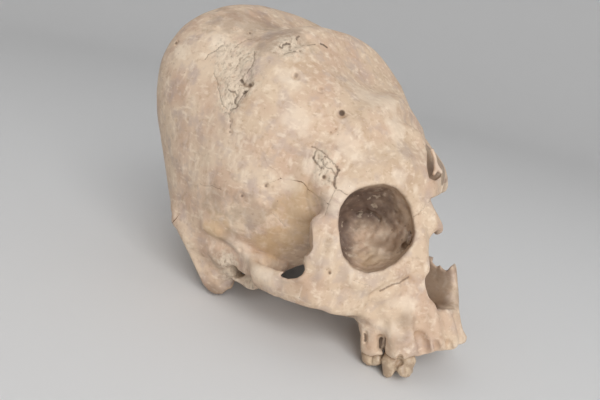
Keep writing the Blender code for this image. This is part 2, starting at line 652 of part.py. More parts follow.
def serrated(places, teeth):
    """The course through some places, as a zigzag of so many teeth."""
    corners = [at(1, *shares) for shares in places]
    lengths = np.cumsum([0] + [(b - a).length for a, b in zip(corners, corners[1:])])
    course = []
    for n in range(2 * teeth + 1):
        along = lengths[-1] * n / (2 * teeth)
        leg = min(int(np.searchsorted(lengths, along, side="right")) - 1, len(corners) - 2)
        start, end = corners[leg], corners[leg + 1]
        place = start.lerp(end, (along - lengths[leg]) / (end - start).length)
        sideways = (end - start).cross(place - VAULT_CENTRE).normalized()
        lean = 0 if n in (0, 2 * teeth) else (-1) ** n
        course.append(place + sideways * SERRATION / 2 * lean)
    return course


def cone_cell(name, course, gap):
    """A cone from the vault's centre out through a closed course of places."""
    size = len(course)
    middle = sum((place - VAULT_CENTRE for place in course), Vector()) / size
    turning = sum(((course[n] - VAULT_CENTRE).cross(course[(n + 1) % size] - VAULT_CENTRE)
                   for n in range(size)), Vector())
    if turning.dot(middle) < 0:
        course = course[::-1]
    edge = stood_off(course, lambda n: course[n] - VAULT_CENTRE, gap)
    made = bmesh.new()
    ring = [made.verts.new(VAULT_CENTRE + (place - VAULT_CENTRE).normalized() * SAW_REACH) for place in edge]
    apex = made.verts.new(VAULT_CENTRE - middle.normalized() * gap)
    far = made.verts.new(VAULT_CENTRE + middle.normalized() * SAW_REACH)
    for n in range(size):
        made.faces.new((ring[n], ring[(n + 1) % size], far))
        made.faces.new((ring[(n + 1) % size], ring[n], apex))
    bmesh.ops.recalc_face_normals(made, faces=made.faces)
    return object_of(name, made)


def plan_cell(side, plan, gap):
    """An upright prism over a plan of (x, y) shares, drawn anticlockwise for the skull's left side."""
    corners = [at(side, x_share, y_share, 0) for x_share, y_share in plan]
    area = sum(a.cross(b).z for a, b in zip(corners, corners[1:] + corners[:1]))
    if area < 0:
        corners.reverse()
    edge = stood_off(corners, lambda n: Vector((0, 0, 1)), gap)
    rings = [[place + at(1, 0, 0, share) for place in edge] for share in (PLAN_LOW_SHARE, PLAN_HIGH_SHARE)]
    return loft("plan_cell", rings)


def mirrored(places):
    """The same places on the skull's other side, as shares."""
    return [(-x_share, y_share, z_share) for x_share, y_share, z_share in places]


def course_of(places):
    """The places of a suture's course on the skull's left side."""
    return [at(LEFT, *shares) for shares in places]


def parietal_cell(side, gap):
    """Between the sagittal, lambdoid, squamous and coronal sutures."""
    course = serrated(SAGITTAL_SHARES, SAGITTAL_TEETH)[:-1] + serrated(LAMBDOID_SHARES, LAMBDOID_TEETH)[:-1]
    course += course_of(SQUAMOUS_SHARES)[:-1] + serrated(CORONAL_SHARES, CORONAL_TEETH)[:-1]
    return cone_cell("parietal_cell", [Vector((place.x * side, place.y, place.z)) for place in course], gap)


def frontal_cell(gap):
    """All in front of the coronal suture and above the face's sutures."""
    half = FRONTAL_BACK_SHARES + FRONTAL_FRONT_SHARES
    other = mirrored(FRONTAL_FRONT_SHARES[::-1]) + mirrored(FRONTAL_BACK_SHARES[:0:-1])
    return cone_cell("frontal_cell", course_of(half) + course_of((NASION_SHARES,)) + course_of(other), gap)


def corner_cell(side, shares, gap):
    """A convex cell between corners."""
    return hull_of_points("corner_cell", side, shares, gap)


def zygomatic_cell(side, gap):
    """The cheekbone's body and its end of the arch."""
    body = corner_cell(side, ZYGOMATIC_CELL_SHARES, gap)
    return combined(body, corner_cell(side, ZYGOMATIC_ARCH_CELL_SHARES, gap), "UNION")


def saw_plan():
    """Each bone's name and its cell, in the order of sawing; a name of None marks a bone that is lost."""
    steps = []

    def add(name, cell, *details):
        steps.append((name, lambda gap: cell(*details, gap)))

    for side, word in ((RIGHT, "right"), (LEFT, "left")):
        add(f"nasal_bone_{word}", corner_cell, side, NASAL_CELL_SHARES)
    add("lacrimal_bone_right", corner_cell, RIGHT, LACRIMAL_CELL_SHARES)
    add(None, corner_cell, LEFT, LACRIMAL_CELL_SHARES)
    add("ethmoid_bone", corner_cell, 1, ETHMOID_CELL_SHARES)
    for side, word in ((RIGHT, "right"), (LEFT, "left")):
        add(f"parietal_bone_{word}", parietal_cell, side)
    add("frontal_bone", frontal_cell)
    add("zygomatic_bone_right", zygomatic_cell, RIGHT)
    add(None, zygomatic_cell, LEFT)
    for side, word in ((RIGHT, "right"), (LEFT, "left")):
        add(f"temporal_bone_{word}", plan_cell, side, TEMPORAL_PLAN_SHARES)
    add("occipital_bone", plan_cell, 1, OCCIPITAL_PLAN_SHARES)
    add("vomer", corner_cell, 1, VOMER_CELL_SHARES)
    for side, word in ((RIGHT, "right"), (LEFT, "left")):
        add(f"palatine_bone_{word}", corner_cell, side, PALATINE_CELL_SHARES)
    add(None, corner_cell, LEFT, LOST_RIM_SHARES)
    for side, word in ((RIGHT, "right"), (LEFT, "left")):
        add(f"maxilla_{word}", corner_cell, side, MAXILLA_CELL_SHARES)
    return steps


def bodies_of(made):
    """The faces of each closed body in a bmesh."""
    seen, bodies = set(), []
    for start in made.faces:
        if start in seen:
            continue
        seen.add(start)
        body, queue = [], [start]
        while queue:
            face = queue.pop()
            body.append(face)
            for edge in face.edges:
                for other in edge.link_faces:
                    if other not in seen:
                        seen.add(other)
                        queue.append(other)
        bodies.append(body)
    return bodies


def volume_of(body):
    """Volume inside a closed body's triangles."""
    return sum(face.verts[0].co.dot(face.verts[1].co.cross(face.verts[2].co)) for face in body) / 6


def largest_body(obj):
    """Keep the object's largest closed body and drop the saw's crumbs."""
    made = bmesh.new()
    made.from_mesh(obj.data)
    bmesh.ops.remove_doubles(made, verts=made.verts, dist=WELD)
    bmesh.ops.dissolve_degenerate(made, edges=made.edges, dist=WELD)
    bmesh.ops.triangulate(made, faces=made.faces)
    bodies = sorted(bodies_of(made), key=volume_of)
    crumbs = [face for body in bodies[:-1] for face in body]
    bmesh.ops.delete(made, geom=crumbs, context="FACES")
    loose = [vertex for vertex in made.verts if not vertex.link_faces]
    bmesh.ops.delete(made, geom=loose, context="VERTS")
    made.to_mesh(obj.data)
    made.free()
    return obj


def saw_apart(skull):
    """Every bone in turn; what is left at the end is the sphenoid, which all the others meet."""
    bones = []
    for name, cell in saw_plan():
        if name:
            bone = combined(copy_of(skull, name), cell(0), "INTERSECT", "MANIFOLD")
            bones.append(largest_body(bone))
        skull = combined(skull, cell(SUTURE_GAP), "DIFFERENCE", "MANIFOLD")
    skull.name = "sphenoid_bone"
    bones.append(largest_body(skull))
    return bones


def resting_pitch(places):
    """The turn about X at which the last teeth and the back of the base are equally low."""
    front, back = places[places[:, 1] < 0], places[places[:, 1] >= 0]
    low, high = -PITCH_LIMIT, PITCH_LIMIT
    for _ in range(PITCH_ROUNDS):
        pitch = (low + high) / 2
        dip = [(part[:, 2] * np.cos(pitch) + part[:, 1] * np.sin(pitch)).min() for part in (front, back)]
        if dip[0] < dip[1]:
            high = pitch
        else:
            low = pitch
    return pitch


def wear_flat(piece, turn, height):
    """Cut the piece level at a height of the standing attitude, where it bears on the ground."""
    made = bmesh.new()
    bmesh.ops.create_cube(made, size=SAW_REACH, matrix=Matrix.Translation((0, 0, height - SAW_REACH / 2)))
    bmesh.ops.transform(made, matrix=turn.inverted().to_4x4(), verts=made.verts)
    combined(piece, object_of("ground", made), "DIFFERENCE")
    largest_body(piece)


def stand_up(pieces):
    """Hang the pieces on an empty that stands them on the ground, over the middle of their outline."""
    attitude = bpy.data.objects.new("attitude", None)
    bpy.context.scene.collection.objects.link(attitude)
    places = np.array([vertex.co for piece in pieces for vertex in piece.data.vertices])
    turn = Matrix.Rotation(resting_pitch(places), 3, "X")
    stood = places @ np.array(turn).T
    low, high = stood.min(axis=0), stood.max(axis=0)
    attitude.rotation_euler = turn.to_euler()
    attitude.location = (-(low[0] + high[0]) / 2, -(low[1] + high[1]) / 2, -low[2] - REST_FLAT)
    for piece in pieces:
        reach = min((turn @ vertex.co).z for vertex in piece.data.vertices)
        if reach < low[2] + REST_FLAT:
            wear_flat(piece, turn, low[2] + REST_FLAT)
        piece.parent = attitude


# Finishes: base colour and roughness.
OLD_BONE = ((0.53, 0.40, 0.27, 1), 0.62)
PALE_BONE = ((0.60, 0.47, 0.33, 1), 0.60)
SPONGY_BONE = ((0.42, 0.29, 0.19, 1), 0.75)
ENAMEL = ((0.50, 0.38, 0.25, 1), 0.35)
PALE_PIECES = ("frontal", "zygomatic", "maxilla", "nasal")
SPONGY_PIECES = ("ethmoid", "vomer", "lacrimal", "palatine")


def finish(piece):
    """Give the piece a material of its own."""
    colour, roughness = OLD_BONE
    if piece.name.startswith(PALE_PIECES):
        colour, roughness = PALE_BONE
    if piece.name.startswith(SPONGY_PIECES):
        colour, roughness = SPONGY_BONE
    if "molar" in piece.name:
        colour, roughness = ENAMEL
    material = bpy.data.materials.new(piece.name)
    material.use_nodes = True
    shader = material.node_tree.nodes["Principled BSDF"]
    shader.inputs["Base Color"].default_value = colour
    shader.inputs["Roughness"].default_value = roughness
    shader.inputs["Metallic"].default_value = 0
    piece.data.materials.clear()
    piece.data.materials.append(material)
    piece.data.shade_smooth()
    piece.data.set_sharp_from_angle(angle=SHARP_ANGLE)


def main():
    for obj in list(bpy.data.objects):
        bpy.data.objects.remove(obj)
    pieces = saw_apart(hollowed_skull()) + teeth()
    for piece in pieces:
        finish(piece)
    stand_up(pieces)


main()
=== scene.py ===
"""A weathered human cranium: the finished bone surface over its separate solids."""

import json
import math

import bpy
import bmesh
import numpy as np
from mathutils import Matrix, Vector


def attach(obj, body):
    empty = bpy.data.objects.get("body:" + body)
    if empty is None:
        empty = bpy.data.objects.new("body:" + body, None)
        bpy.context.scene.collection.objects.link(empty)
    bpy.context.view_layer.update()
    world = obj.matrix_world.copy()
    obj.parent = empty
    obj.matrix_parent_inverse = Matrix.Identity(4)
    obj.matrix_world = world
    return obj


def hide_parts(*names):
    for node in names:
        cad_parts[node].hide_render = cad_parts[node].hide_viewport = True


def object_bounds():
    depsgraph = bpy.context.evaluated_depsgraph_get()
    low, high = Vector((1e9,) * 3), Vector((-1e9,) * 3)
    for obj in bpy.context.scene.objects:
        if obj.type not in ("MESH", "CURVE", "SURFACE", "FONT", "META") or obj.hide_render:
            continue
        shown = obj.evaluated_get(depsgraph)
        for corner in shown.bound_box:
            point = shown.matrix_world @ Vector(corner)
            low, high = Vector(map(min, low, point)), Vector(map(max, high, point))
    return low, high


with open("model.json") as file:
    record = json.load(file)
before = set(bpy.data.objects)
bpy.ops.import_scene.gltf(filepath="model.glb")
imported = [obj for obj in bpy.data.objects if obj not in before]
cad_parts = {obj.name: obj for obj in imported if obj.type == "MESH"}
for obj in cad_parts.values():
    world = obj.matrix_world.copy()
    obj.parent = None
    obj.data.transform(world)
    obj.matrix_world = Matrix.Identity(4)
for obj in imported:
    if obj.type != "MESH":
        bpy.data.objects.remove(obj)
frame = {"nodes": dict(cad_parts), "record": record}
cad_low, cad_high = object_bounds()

import openvdb
from mathutils import Matrix, Vector
from mathutils.bvhtree import BVHTree

# The work is done in the skull's own frame, in millimetres: +X to its left, +Y backwards, +Z up.
MILLIMETRE = 0.001
STANCE = math.radians(-24.615)
STANCE_HOME = np.array((0.017, 2.271, 20.729))

# Camera: place in the standing frame, its heading, and the photograph's frame in pixels.
CAMERA_PLACE = (-258.2, -195.3, 142.2)
CAMERA_AZIMUTH = math.radians(50.70)
CAMERA_ELEVATION = math.radians(-15.34)
CAMERA_ROLL = math.radians(13.23)
FRAME_WIDTH, FRAME_HEIGHT = 600, 400
FOCAL_PIXELS = 600
SENSOR = 36

# Grid that the bone is shaped on.
STEP = 0.65
BAND_CELLS = 8
MARGIN = 5.0
SEAM_GAP = 0.04

# Face box, as in the solids.
FACE_HALF_BREADTH, FACE_DEPTH, FACE_HEIGHT = 65.0, 95.0, 69.0
RIGHT, LEFT = -1, 1


def turned(points, angle):
    """Points turned about the X axis."""
    cosine, sine = math.cos(angle), math.sin(angle)
    x, y, z = np.asarray(points, float).T
    return np.column_stack((x, cosine * y - sine * z, sine * y + cosine * z))


def standing(points):
    """Skull-frame millimetres as metres in the standing frame."""
    return (turned(points, STANCE) + STANCE_HOME) * MILLIMETRE


def in_skull(points):
    """Standing-frame metres as millimetres in the skull's frame."""
    return turned(np.asarray(points, float) / MILLIMETRE - STANCE_HOME, -STANCE)


def at(side, x_share, y_share, z_share):
    """A place in the face, on its right or left side."""
    return np.array((side * x_share * FACE_HALF_BREADTH, -y_share * FACE_DEPTH, z_share * FACE_HEIGHT))


# Camera and the places that pixels of the photograph show

def camera_axes():
    """Right, up and forward of the camera in the standing frame."""
    flat = np.array((math.sin(CAMERA_AZIMUTH), math.cos(CAMERA_AZIMUTH), 0))
    forward = flat * math.cos(CAMERA_ELEVATION) + np.array((0, 0, math.sin(CAMERA_ELEVATION)))
    level = np.cross(forward, (0, 0, 1))
    level /= np.linalg.norm(level)
    upright = np.cross(level, forward)
    right = level * math.cos(CAMERA_ROLL) + upright * math.sin(CAMERA_ROLL)
    return right, np.cross(right, forward), forward


def make_camera():
    """The camera of the photograph."""
    data = bpy.data.cameras.new("camera")
    data.sensor_width = SENSOR
    data.lens = SENSOR * FOCAL_PIXELS / FRAME_WIDTH
    data.clip_start = 0.01
    camera = bpy.data.objects.new("camera", data)
    bpy.context.scene.collection.objects.link(camera)
    right, up, forward = camera_axes()
    matrix = np.eye(4)
    matrix[:3, 0], matrix[:3, 1], matrix[:3, 2] = right, up, -forward
    matrix[:3, 3] = np.array(CAMERA_PLACE) * MILLIMETRE
    camera.matrix_world = Matrix(matrix.tolist())
    bpy.context.scene.camera = camera


def solids_tree():
    """The CAD solids as one tree for rays, in the skull's frame."""
    points, faces, count = [], [], 0
    for node in frame["nodes"].values():
        mesh = node.data
        points.extend(in_skull([vertex.co for vertex in mesh.vertices]).tolist())
        faces.extend([[count + v for v in polygon.vertices] for polygon in mesh.polygons])
        count += len(mesh.vertices)
    return BVHTree.FromPolygons(points, faces)


TREE = solids_tree()
SKULL_MIDDLE = np.array((0.0, -20.0, 30.0))
# The camera in the skull's frame.
EYE = in_skull([np.array(CAMERA_PLACE) * MILLIMETRE])[0]
EYE_RIGHT, EYE_UP, EYE_FORWARD = turned(camera_axes(), -STANCE)


def heading_of(pixel):
    """The direction in the skull's frame in which the camera sees a pixel."""
    across = (pixel[0] - FRAME_WIDTH / 2) / FOCAL_PIXELS
    above = (FRAME_HEIGHT / 2 - pixel[1]) / FOCAL_PIXELS
    heading = EYE_FORWARD + EYE_RIGHT * across + EYE_UP * above
    return heading / np.linalg.norm(heading)


def seen(pixel, deeper=0.0):
    """Where the bone shows at a pixel of the photograph, or that far behind its surface."""
    heading = heading_of(pixel)
    place, _, _, _ = TREE.ray_cast(Vector(EYE), Vector(heading))
    if place is None:
        past = EYE + heading * ((SKULL_MIDDLE - EYE) @ EYE_FORWARD) / (heading @ EYE_FORWARD)
        place, _, _, _ = TREE.find_nearest(Vector(past))
    return np.array(place) + heading * deeper


def level_with(pixel, neighbour, deeper=0.0):
    """The place at a pixel that is as far from the camera as the bone at a neighbouring pixel."""
    depth = (seen(neighbour, deeper) - EYE) @ EYE_FORWARD
    heading = heading_of(pixel)
    return EYE + heading * depth / (heading @ EYE_FORWARD)


def pixels_at(x, y, z):
    """The photograph's pixel coordinates and the depth of places in the skull's frame."""
    x, y, z = x - EYE[0], y - EYE[1], z - EYE[2]
    across, above, depth = [axis[0] * x + axis[1] * y + axis[2] * z
                            for axis in (EYE_RIGHT, EYE_UP, EYE_FORWARD)]
    u = FRAME_WIDTH / 2 + FOCAL_PIXELS * across / depth
    v = FRAME_HEIGHT / 2 - FOCAL_PIXELS * above / depth
    return u, v, depth


def outside_outline(outline, x, y, z):
    """Distance by which places show outside a closed outline of pixels."""
    u, v, depth = pixels_at(*np.broadcast_arrays(x, y, z))
    nearest = np.full(u.shape, np.inf)
    inside = np.zeros(u.shape, bool)
    for (u0, v0), (u1, v1) in zip(outline, outline[1:] + outline[:1]):
        run, rise = u1 - u0, v1 - v0
        share = np.clip(((u - u0) * run + (v - v0) * rise) / (run ** 2 + rise ** 2), 0, 1)
        nearest = np.minimum(nearest, (u - u0 - share * run) ** 2 + (v - v0 - share * rise) ** 2)
        if v0 != v1:
            inside ^= ((v0 > v) != (v1 > v)) & (u < u0 + (v - v0) * run / rise)
    away = np.sqrt(nearest) * depth / FOCAL_PIXELS
    return np.where(inside, -away, away).astype(np.float32)


# Grids

# Where the bell curve of a blur is cut off, in shares of its spread.
BELL_REACH = 2.5


def level_set(points, triangles, step, band):
    """Signed distance round a closed mesh: the grid's lowest index and its values."""
    grid = openvdb.FloatGrid.createLevelSetFromPolygons(
        points.astype(np.float32), triangles=triangles.astype(np.uint32),
        transform=openvdb.createLinearTransform(voxelSize=step), halfWidth=band)
    low = np.floor(points.min(axis=0) / step).astype(int) - band - 1
    high = np.ceil(points.max(axis=0) / step).astype(int) + band + 2
    values = np.empty(high - low, np.float32)
    grid.copyToArray(values, ijk=tuple(int(n) for n in low))
    return low, values


def mesh_arrays(node):
    """A node's vertices in the skull's frame and its triangles."""
    mesh = node.data
    mesh.calc_loop_triangles()
    places = np.empty(len(mesh.vertices) * 3, np.float32)
    mesh.vertices.foreach_get("co", places)
    triangles = np.empty(len(mesh.loop_triangles) * 3, np.int32)
    mesh.loop_triangles.foreach_get("vertices", triangles)
    return in_skull(places.reshape(-1, 3)), triangles.reshape(-1, 3)


def shifted(field, axis, by):
    """The grid moved along an axis, its border repeated."""
    moved = np.roll(field, by, axis)
    edge = [slice(None)] * 3
    source = [slice(None)] * 3
    if by > 0:
        edge[axis], source[axis] = slice(0, by), slice(by, by + 1)
    else:
        edge[axis], source[axis] = slice(by, None), slice(by - 1, by)
    moved[tuple(edge)] = moved[tuple(source)]
    return moved


def blurred(field, spread, step):
    """The grid softened by a bell curve of this spread."""
    reach = max(1, int(round(BELL_REACH * spread / step)))
    weights = np.exp(-0.5 * (np.arange(reach + 1) * step / spread) ** 2)
    weights /= weights[0] + 2 * weights[1:].sum()
    for axis in range(3):
        total = field * np.float32(weights[0])
        for n in range(1, reach + 1):
            total += (shifted(field, axis, n) + shifted(field, axis, -n)) * np.float32(weights[n])
        field = total
    return field


def grown(field, reach, step):
    """The largest value in the box round each cell."""
    cells = max(1, int(round(reach / step)))
    for axis in range(3):
        largest = field.copy()
        for n in range(1, cells + 1):
            np.maximum(largest, shifted(field, axis, n), out=largest)
            np.maximum(largest, shifted(field, axis, -n), out=largest)
        field = largest
    return field


def eased(values, start, end):
    """0 before start, 1 after end, smooth between them."""
    share = np.clip((values - start) / (end - start), 0, 1)
    return share * share * (3 - 2 * share)


def soft_min(a, b, round_off):
    """The smaller of two distances with a rounded inside corner."""
    near = np.maximum(round_off - np.abs(a - b), 0) / round_off
    return np.minimum(a, b) - near * near * round_off / 4


def soft_max(a, b, round_off):
    """The larger of two distances with a rounded edge."""
    return -soft_min(-a, -b, round_off)


def away_from(middle, x, y, z):
    """Distance of places from one."""
    return np.sqrt((x - middle[0]) ** 2 + (y - middle[1]) ** 2 + (z - middle[2]) ** 2)


def stretched(field, counts):
    """A coarse grid drawn out to more cells, the last one just before its end."""
    for axis, count in enumerate(counts):
        place = np.linspace(0, field.shape[axis] - 1.001, count)
        base = place.astype(int)
        shape = [1, 1, 1]
        shape[axis] = count
        part = eased(place - base, 0, 1).reshape(shape).astype(np.float32)
        field = field.take(base, axis) * (1 - part) + field.take(base + 1, axis) * part
    return field


# All bones on one grid

TOOTH_NODES = sorted(name for name in frame["nodes"] if "molar" in name)
BONE_NODES = sorted(name for name in frame["nodes"] if "molar" not in name)
ARRAYS = {name: mesh_arrays(node) for name, node in frame["nodes"].items()}
EVERY_POINT = np.vstack([points for points, _ in ARRAYS.values()])
LOW = np.floor((EVERY_POINT.min(axis=0) - MARGIN) / STEP).astype(int) - BAND_CELLS
COUNTS = np.ceil((EVERY_POINT.max(axis=0) + MARGIN) / STEP).astype(int) + BAND_CELLS - LOW
FAR = STEP * BAND_CELLS

# How far before and behind the solids' surface the form's own is looked for, and in what steps.
REACH_BEFORE, REACH_BEHIND, REACH_STEP = 8.0, 25.0, 0.1


class Grid:
    """Distances on a box of cells in the skull's frame."""

    def __init__(self, values, low, step):
        self.values, self.low, self.step = values, np.asarray(low), step

    def window(self, low, high):
        """Slices between two corners, and the coordinates there."""
        counts = np.array(self.values.shape)
        start = np.clip(np.floor(np.asarray(low) / self.step).astype(int) - self.low, 0, counts - 1)
        stop = np.clip(np.ceil(np.asarray(high) / self.step).astype(int) - self.low + 1, start + 1, counts)
        x, y, z = [(np.arange(a, b) + first) * np.float32(self.step)
                   for a, b, first in zip(start, stop, self.low)]
        place = tuple(slice(int(a), int(b)) for a, b in zip(start, stop))
        return place, (x[:, None, None], y[None, :, None], z[None, None, :])

    def everywhere(self):
        """The coordinates of every cell."""
        return self.window(self.low * self.step, (self.low + self.values.shape - 1) * self.step)[1]

    def read(self, points):
        """Values at points, straight between the cells."""
        place = points / self.step - self.low
        base = np.clip(np.floor(place).astype(int), 0, np.array(self.values.shape) - 2)
        part = np.clip(place - base, 0, 1)
        total = 0
        for corner in np.ndindex(2, 2, 2):
            weight = np.prod(np.where(corner, part, 1 - part), axis=1)
            i, j, k = (base + corner).T
            total = total + weight * self.values[i, j, k]
        return total

    def slopes(self, points):
        """Gradient at points."""
        columns = []
        for axis in range(3):
            ahead = np.zeros(3)
            ahead[axis] = self.step / 2
            columns.append((self.read(points + ahead) - self.read(points - ahead)) / self.step)
        return np.column_stack(columns)

    def met_by(self, pixel, deeper=0.0):
        """Where the form shows at a pixel of the photograph, or that far behind its surface."""
        heading = heading_of(pixel)
        start = seen(pixel, -REACH_BEFORE)
        along = np.arange(0, REACH_BEFORE + REACH_BEHIND, REACH_STEP)
        inside = np.flatnonzero(self.read(start + along[:, None] * heading) < 0)
        reach = along[inside[0]] if len(inside) else REACH_BEFORE
        return start + heading * (reach + deeper)

    def build(self, form, corners, round_off):
        """Add a form between two corners; form gives its distance from coordinates."""
        place, axes = self.window(*corners)
        self.values[place] = soft_min(self.values[place], form(*axes), np.float32(round_off))

    def carve(self, room, corners, round_off):
        """Take a room out between two corners; room gives its distance from coordinates."""
        place, axes = self.window(*corners)
        self.values[place] = soft_max(self.values[place], -room(*axes), np.float32(round_off))

    def add(self, chain, round_off):
        """Add a chain of balls, its join rounded off."""
        self.build(lambda *axes: chain_distance(chain, *axes), corners_of(chain, 2 * round_off), round_off)

    def cut(self, chain, round_off):
        """Take a chain of balls out, its rim rounded off."""
        self.carve(lambda *axes: chain_distance(chain, *axes), corners_of(chain, 2 * round_off), round_off)

    def trim(self, outline, low, high, round_off):
        """Take away what shows outside an outline of pixels, between two corners."""
        self.carve(lambda *axes: -outside_outline(outline, *axes), (low, high), round_off)


def part_of(low, counts):
    """Slices of the common grid that a smaller grid fills."""
    return tuple(slice(int(a), int(a + n)) for a, n in zip(low - LOW, counts))


def gathered(names):
    """The nearest and second nearest distance to a bone, which bone is nearest, and each bone's own grid."""
    first = np.full(COUNTS, FAR, np.float32)
    second = np.full(COUNTS, FAR, np.float32)
    nearest = np.full(COUNTS, -1, np.int8)
    grids = {}
    for n, name in enumerate(names):
        low, values = level_set(*ARRAYS[name], STEP, BAND_CELLS)
        place = part_of(low, values.shape)
        closer = values < first[place]
        second[place] = np.where(closer, first[place], np.minimum(second[place], values))
        first[place] = np.where(closer, values, first[place])
        nearest[place] = np.where(closer, n, nearest[place])
        grids[name] = low, values
    return first, second, nearest, grids


# Braincase form, in millimetres; its swellings and hollows have a direction, a spread and a height.

VAULT_CENTRE = np.array((0, 1.0, 48.8))
VAULT_HALF_BREADTH, VAULT_FRONT, VAULT_BACK, VAULT_RISE, VAULT_DROP = 71.8, 72.5, 64.0, 98.5, 55.0
VAULT_POWER = 2.4
VAULT_WALL = 4.2
VAULT_INSET = 0.3
VAULT_SWELLINGS = (
    ((0.55, 0.18, 0.57), (0.40, 0.40, 0.40), 11.0),
    ((-0.55, 0.18, 0.57), (0.40, 0.40, 0.40), 11.0),
    ((0.0, -0.25, 0.95), (0.75, 0.20, 0.45), -19.5),
    ((0.0, -0.72, 0.69), (0.60, 0.34, 0.34), -17.0),
    ((0.0, 0.90, 0.30), (0.60, 0.40, 0.50), 5.0),
    ((0.75, -0.62, -0.35), (0.25, 0.25, 0.35), -6.0),
    ((-0.75, -0.62, -0.35), (0.25, 0.25, 0.35), -6.0),
)


def vault_distance(x, y, z):
    """Distance outside the braincase's outer face."""
    x, y, z = [axis - np.float32(centre) for axis, centre in zip((x, y, z), VAULT_CENTRE)]
    away = np.sqrt(x * x + y * y + z * z) + np.float32(0.001)
    x, y, z = x / away, y / away, z / away
    depth = np.where(y < 0, np.float32(VAULT_FRONT), np.float32(VAULT_BACK))
    rise = np.where(z > 0, np.float32(VAULT_RISE), np.float32(VAULT_DROP))
    total = sum(np.abs(axis / half) ** np.float32(VAULT_POWER)
                for axis, half in ((x, VAULT_HALF_BREADTH), (y, depth), (z, rise)))
    radius = total ** np.float32(-1 / VAULT_POWER)
    for towards, spread, height in VAULT_SWELLINGS:
        middle = np.array(towards) / np.linalg.norm(towards)
        off = ((x - middle[0]) / spread[0]) ** 2 + ((y - middle[1]) / spread[1]) ** 2
        radius = radius + np.float32(height) * np.exp(-off - ((z - middle[2]) / spread[2]) ** 2)
    return (away - radius).astype(np.float32)


# Eye socket: its frame as in the solids, and its rim as the photograph shows it

ORBIT_MOUTH_SHARES = (0.465, 0.745, 0.24)
ORBIT_APEX_SHARES = (0.20, 0.430, 0.27)
ORBIT_TILT_SHARES = (0.40, -0.16)
# Share of the way from the apex where the room starts, its size at the mouth, what it widens by beyond.
ORBIT_START, ORBIT_FULL, ORBIT_FLARE = -0.02, 1.02, 0.2
# Thickness of the wall round the inner part, and the share of the way that it reaches.
ORBIT_WALL, ORBIT_WALL_SHARE = 2.6, 0.8
ORBIT_RIM_PIXELS = (
    (337, 222), (338, 210), (342, 200), (348, 193), (357, 188), (370, 185), (384, 184), (395, 188),
    (403, 196), (409, 207), (412, 220), (414, 233), (411, 245), (404, 254), (395, 263), (382, 270),
    (367, 273), (353, 268), (343, 257), (338, 241),
)
RIM_WAVES = 5


def orbit_frame(side):
    """The socket's apex and mouth, and its directions across and upwards."""
    outwards_back, upwards_forward = ORBIT_TILT_SHARES
    across = np.array((side, outwards_back, 0)) / math.hypot(1, outwards_back)
    upwards = np.array((0, upwards_forward, 1)) / math.hypot(1, upwards_forward)
    return at(side, *ORBIT_APEX_SHARES), at(side, *ORBIT_MOUTH_SHARES), across, upwards


def rim_places():
    """Width and height of the photographed rim about the middle of the right socket's mouth."""
    _, mouth, across, upwards = orbit_frame(RIGHT)
    facing = np.cross(across, upwards)
    places = []
    for pixel in ORBIT_RIM_PIXELS:
        heading = heading_of(pixel)
        away = EYE + heading * (((mouth - EYE) @ facing) / (heading @ facing)) - mouth
        places.append((away @ across, away @ upwards))
    return np.array(places)


def wave_rows(turn):
    """Sines and cosines round the rim."""
    rows = [np.ones_like(turn)]
    for n in range(1, RIM_WAVES + 1):
        rows += [np.cos(n * turn), np.sin(n * turn)]
    return rows


RIM_PLACES = rim_places()
RIM_FIT = np.linalg.lstsq(
    np.column_stack(wave_rows(np.arctan2(RIM_PLACES[:, 1], RIM_PLACES[:, 0]))),
    np.hypot(*RIM_PLACES.T), rcond=None)[0]


def orbit_place(side, x, y, z):
    """Share of the way from the socket's apex to its mouth, and millimetres across and upwards."""
    apex, mouth, across, upwards = orbit_frame(side)
    rows = np.linalg.inv(np.column_stack((mouth - apex, across, upwards)))
    x, y, z = x - apex[0], y - apex[1], z - apex[2]
    return [row[0] * x + row[1] * y + row[2] * z for row in rows]


def orbit_distance(side, x, y, z):
    """Distance outside the eye socket's room."""
    apex, mouth, _, _ = orbit_frame(side)
    along, wide, high = orbit_place(side, x, y, z)
    size = ORBIT_FULL - (1 - np.clip(along, 0, 1)) ** 2 + ORBIT_FLARE * np.maximum(along - 1, 0)
    rim = sum(height * row for height, row in zip(RIM_FIT, wave_rows(np.arctan2(high, wide))))
    behind = (ORBIT_START - along) * np.linalg.norm(mouth - apex)
    return np.maximum(np.hypot(wide, high) - rim * size, behind).astype(np.float32)


def orbit_wall(side, x, y, z):
    """Distance outside the thin wall round the inner part of the eye socket."""
    outside = orbit_distance(side, x, y, z)
    apex, mouth, _, _ = orbit_frame(side)
    along, _, _ = orbit_place(side, x, y, z)
    before = ((along - ORBIT_WALL_SHARE) * np.linalg.norm(mouth - apex)).astype(np.float32)
    return np.maximum(np.maximum(outside - ORBIT_WALL, -outside - ORBIT_WALL), before)


# The rim's middle, and how far outside the rim its lip lies and its depth is taken, in pixels.
RIM_MIDDLE = (375, 229)
LIP_OUT, SURE_OUT = 2.5, 13.0
# The lip's radius, how far behind the face it lies, and the rounding of the rim, in millimetres.
LIP, LIP_DEEPER, RIM_ROUNDING = 2.2, 2.0, 2.0


def beyond_rim(pixel, reach):
    """A rim pixel moved away from the middle of the socket."""
    away = math.dist(pixel, RIM_MIDDLE)
    return tuple(value + (value - middle) * reach / away for value, middle in zip(pixel, RIM_MIDDLE))


def orbit_lip():
    """The rounded bone along the right socket's rim."""
    return [(level_with(beyond_rim(pixel, LIP_OUT), beyond_rim(pixel, SURE_OUT), LIP_DEEPER), LIP)
            for pixel in ORBIT_RIM_PIXELS + ORBIT_RIM_PIXELS[:1]]


def photographed_orbit(x, y, z):
    """The right socket's room, as narrow as its rim in the photograph."""
    beyond = outside_outline(ORBIT_RIM_PIXELS, x, y, z)
    return soft_max(orbit_distance(RIGHT, x, y, z), beyond, np.float32(RIM_ROUNDING))


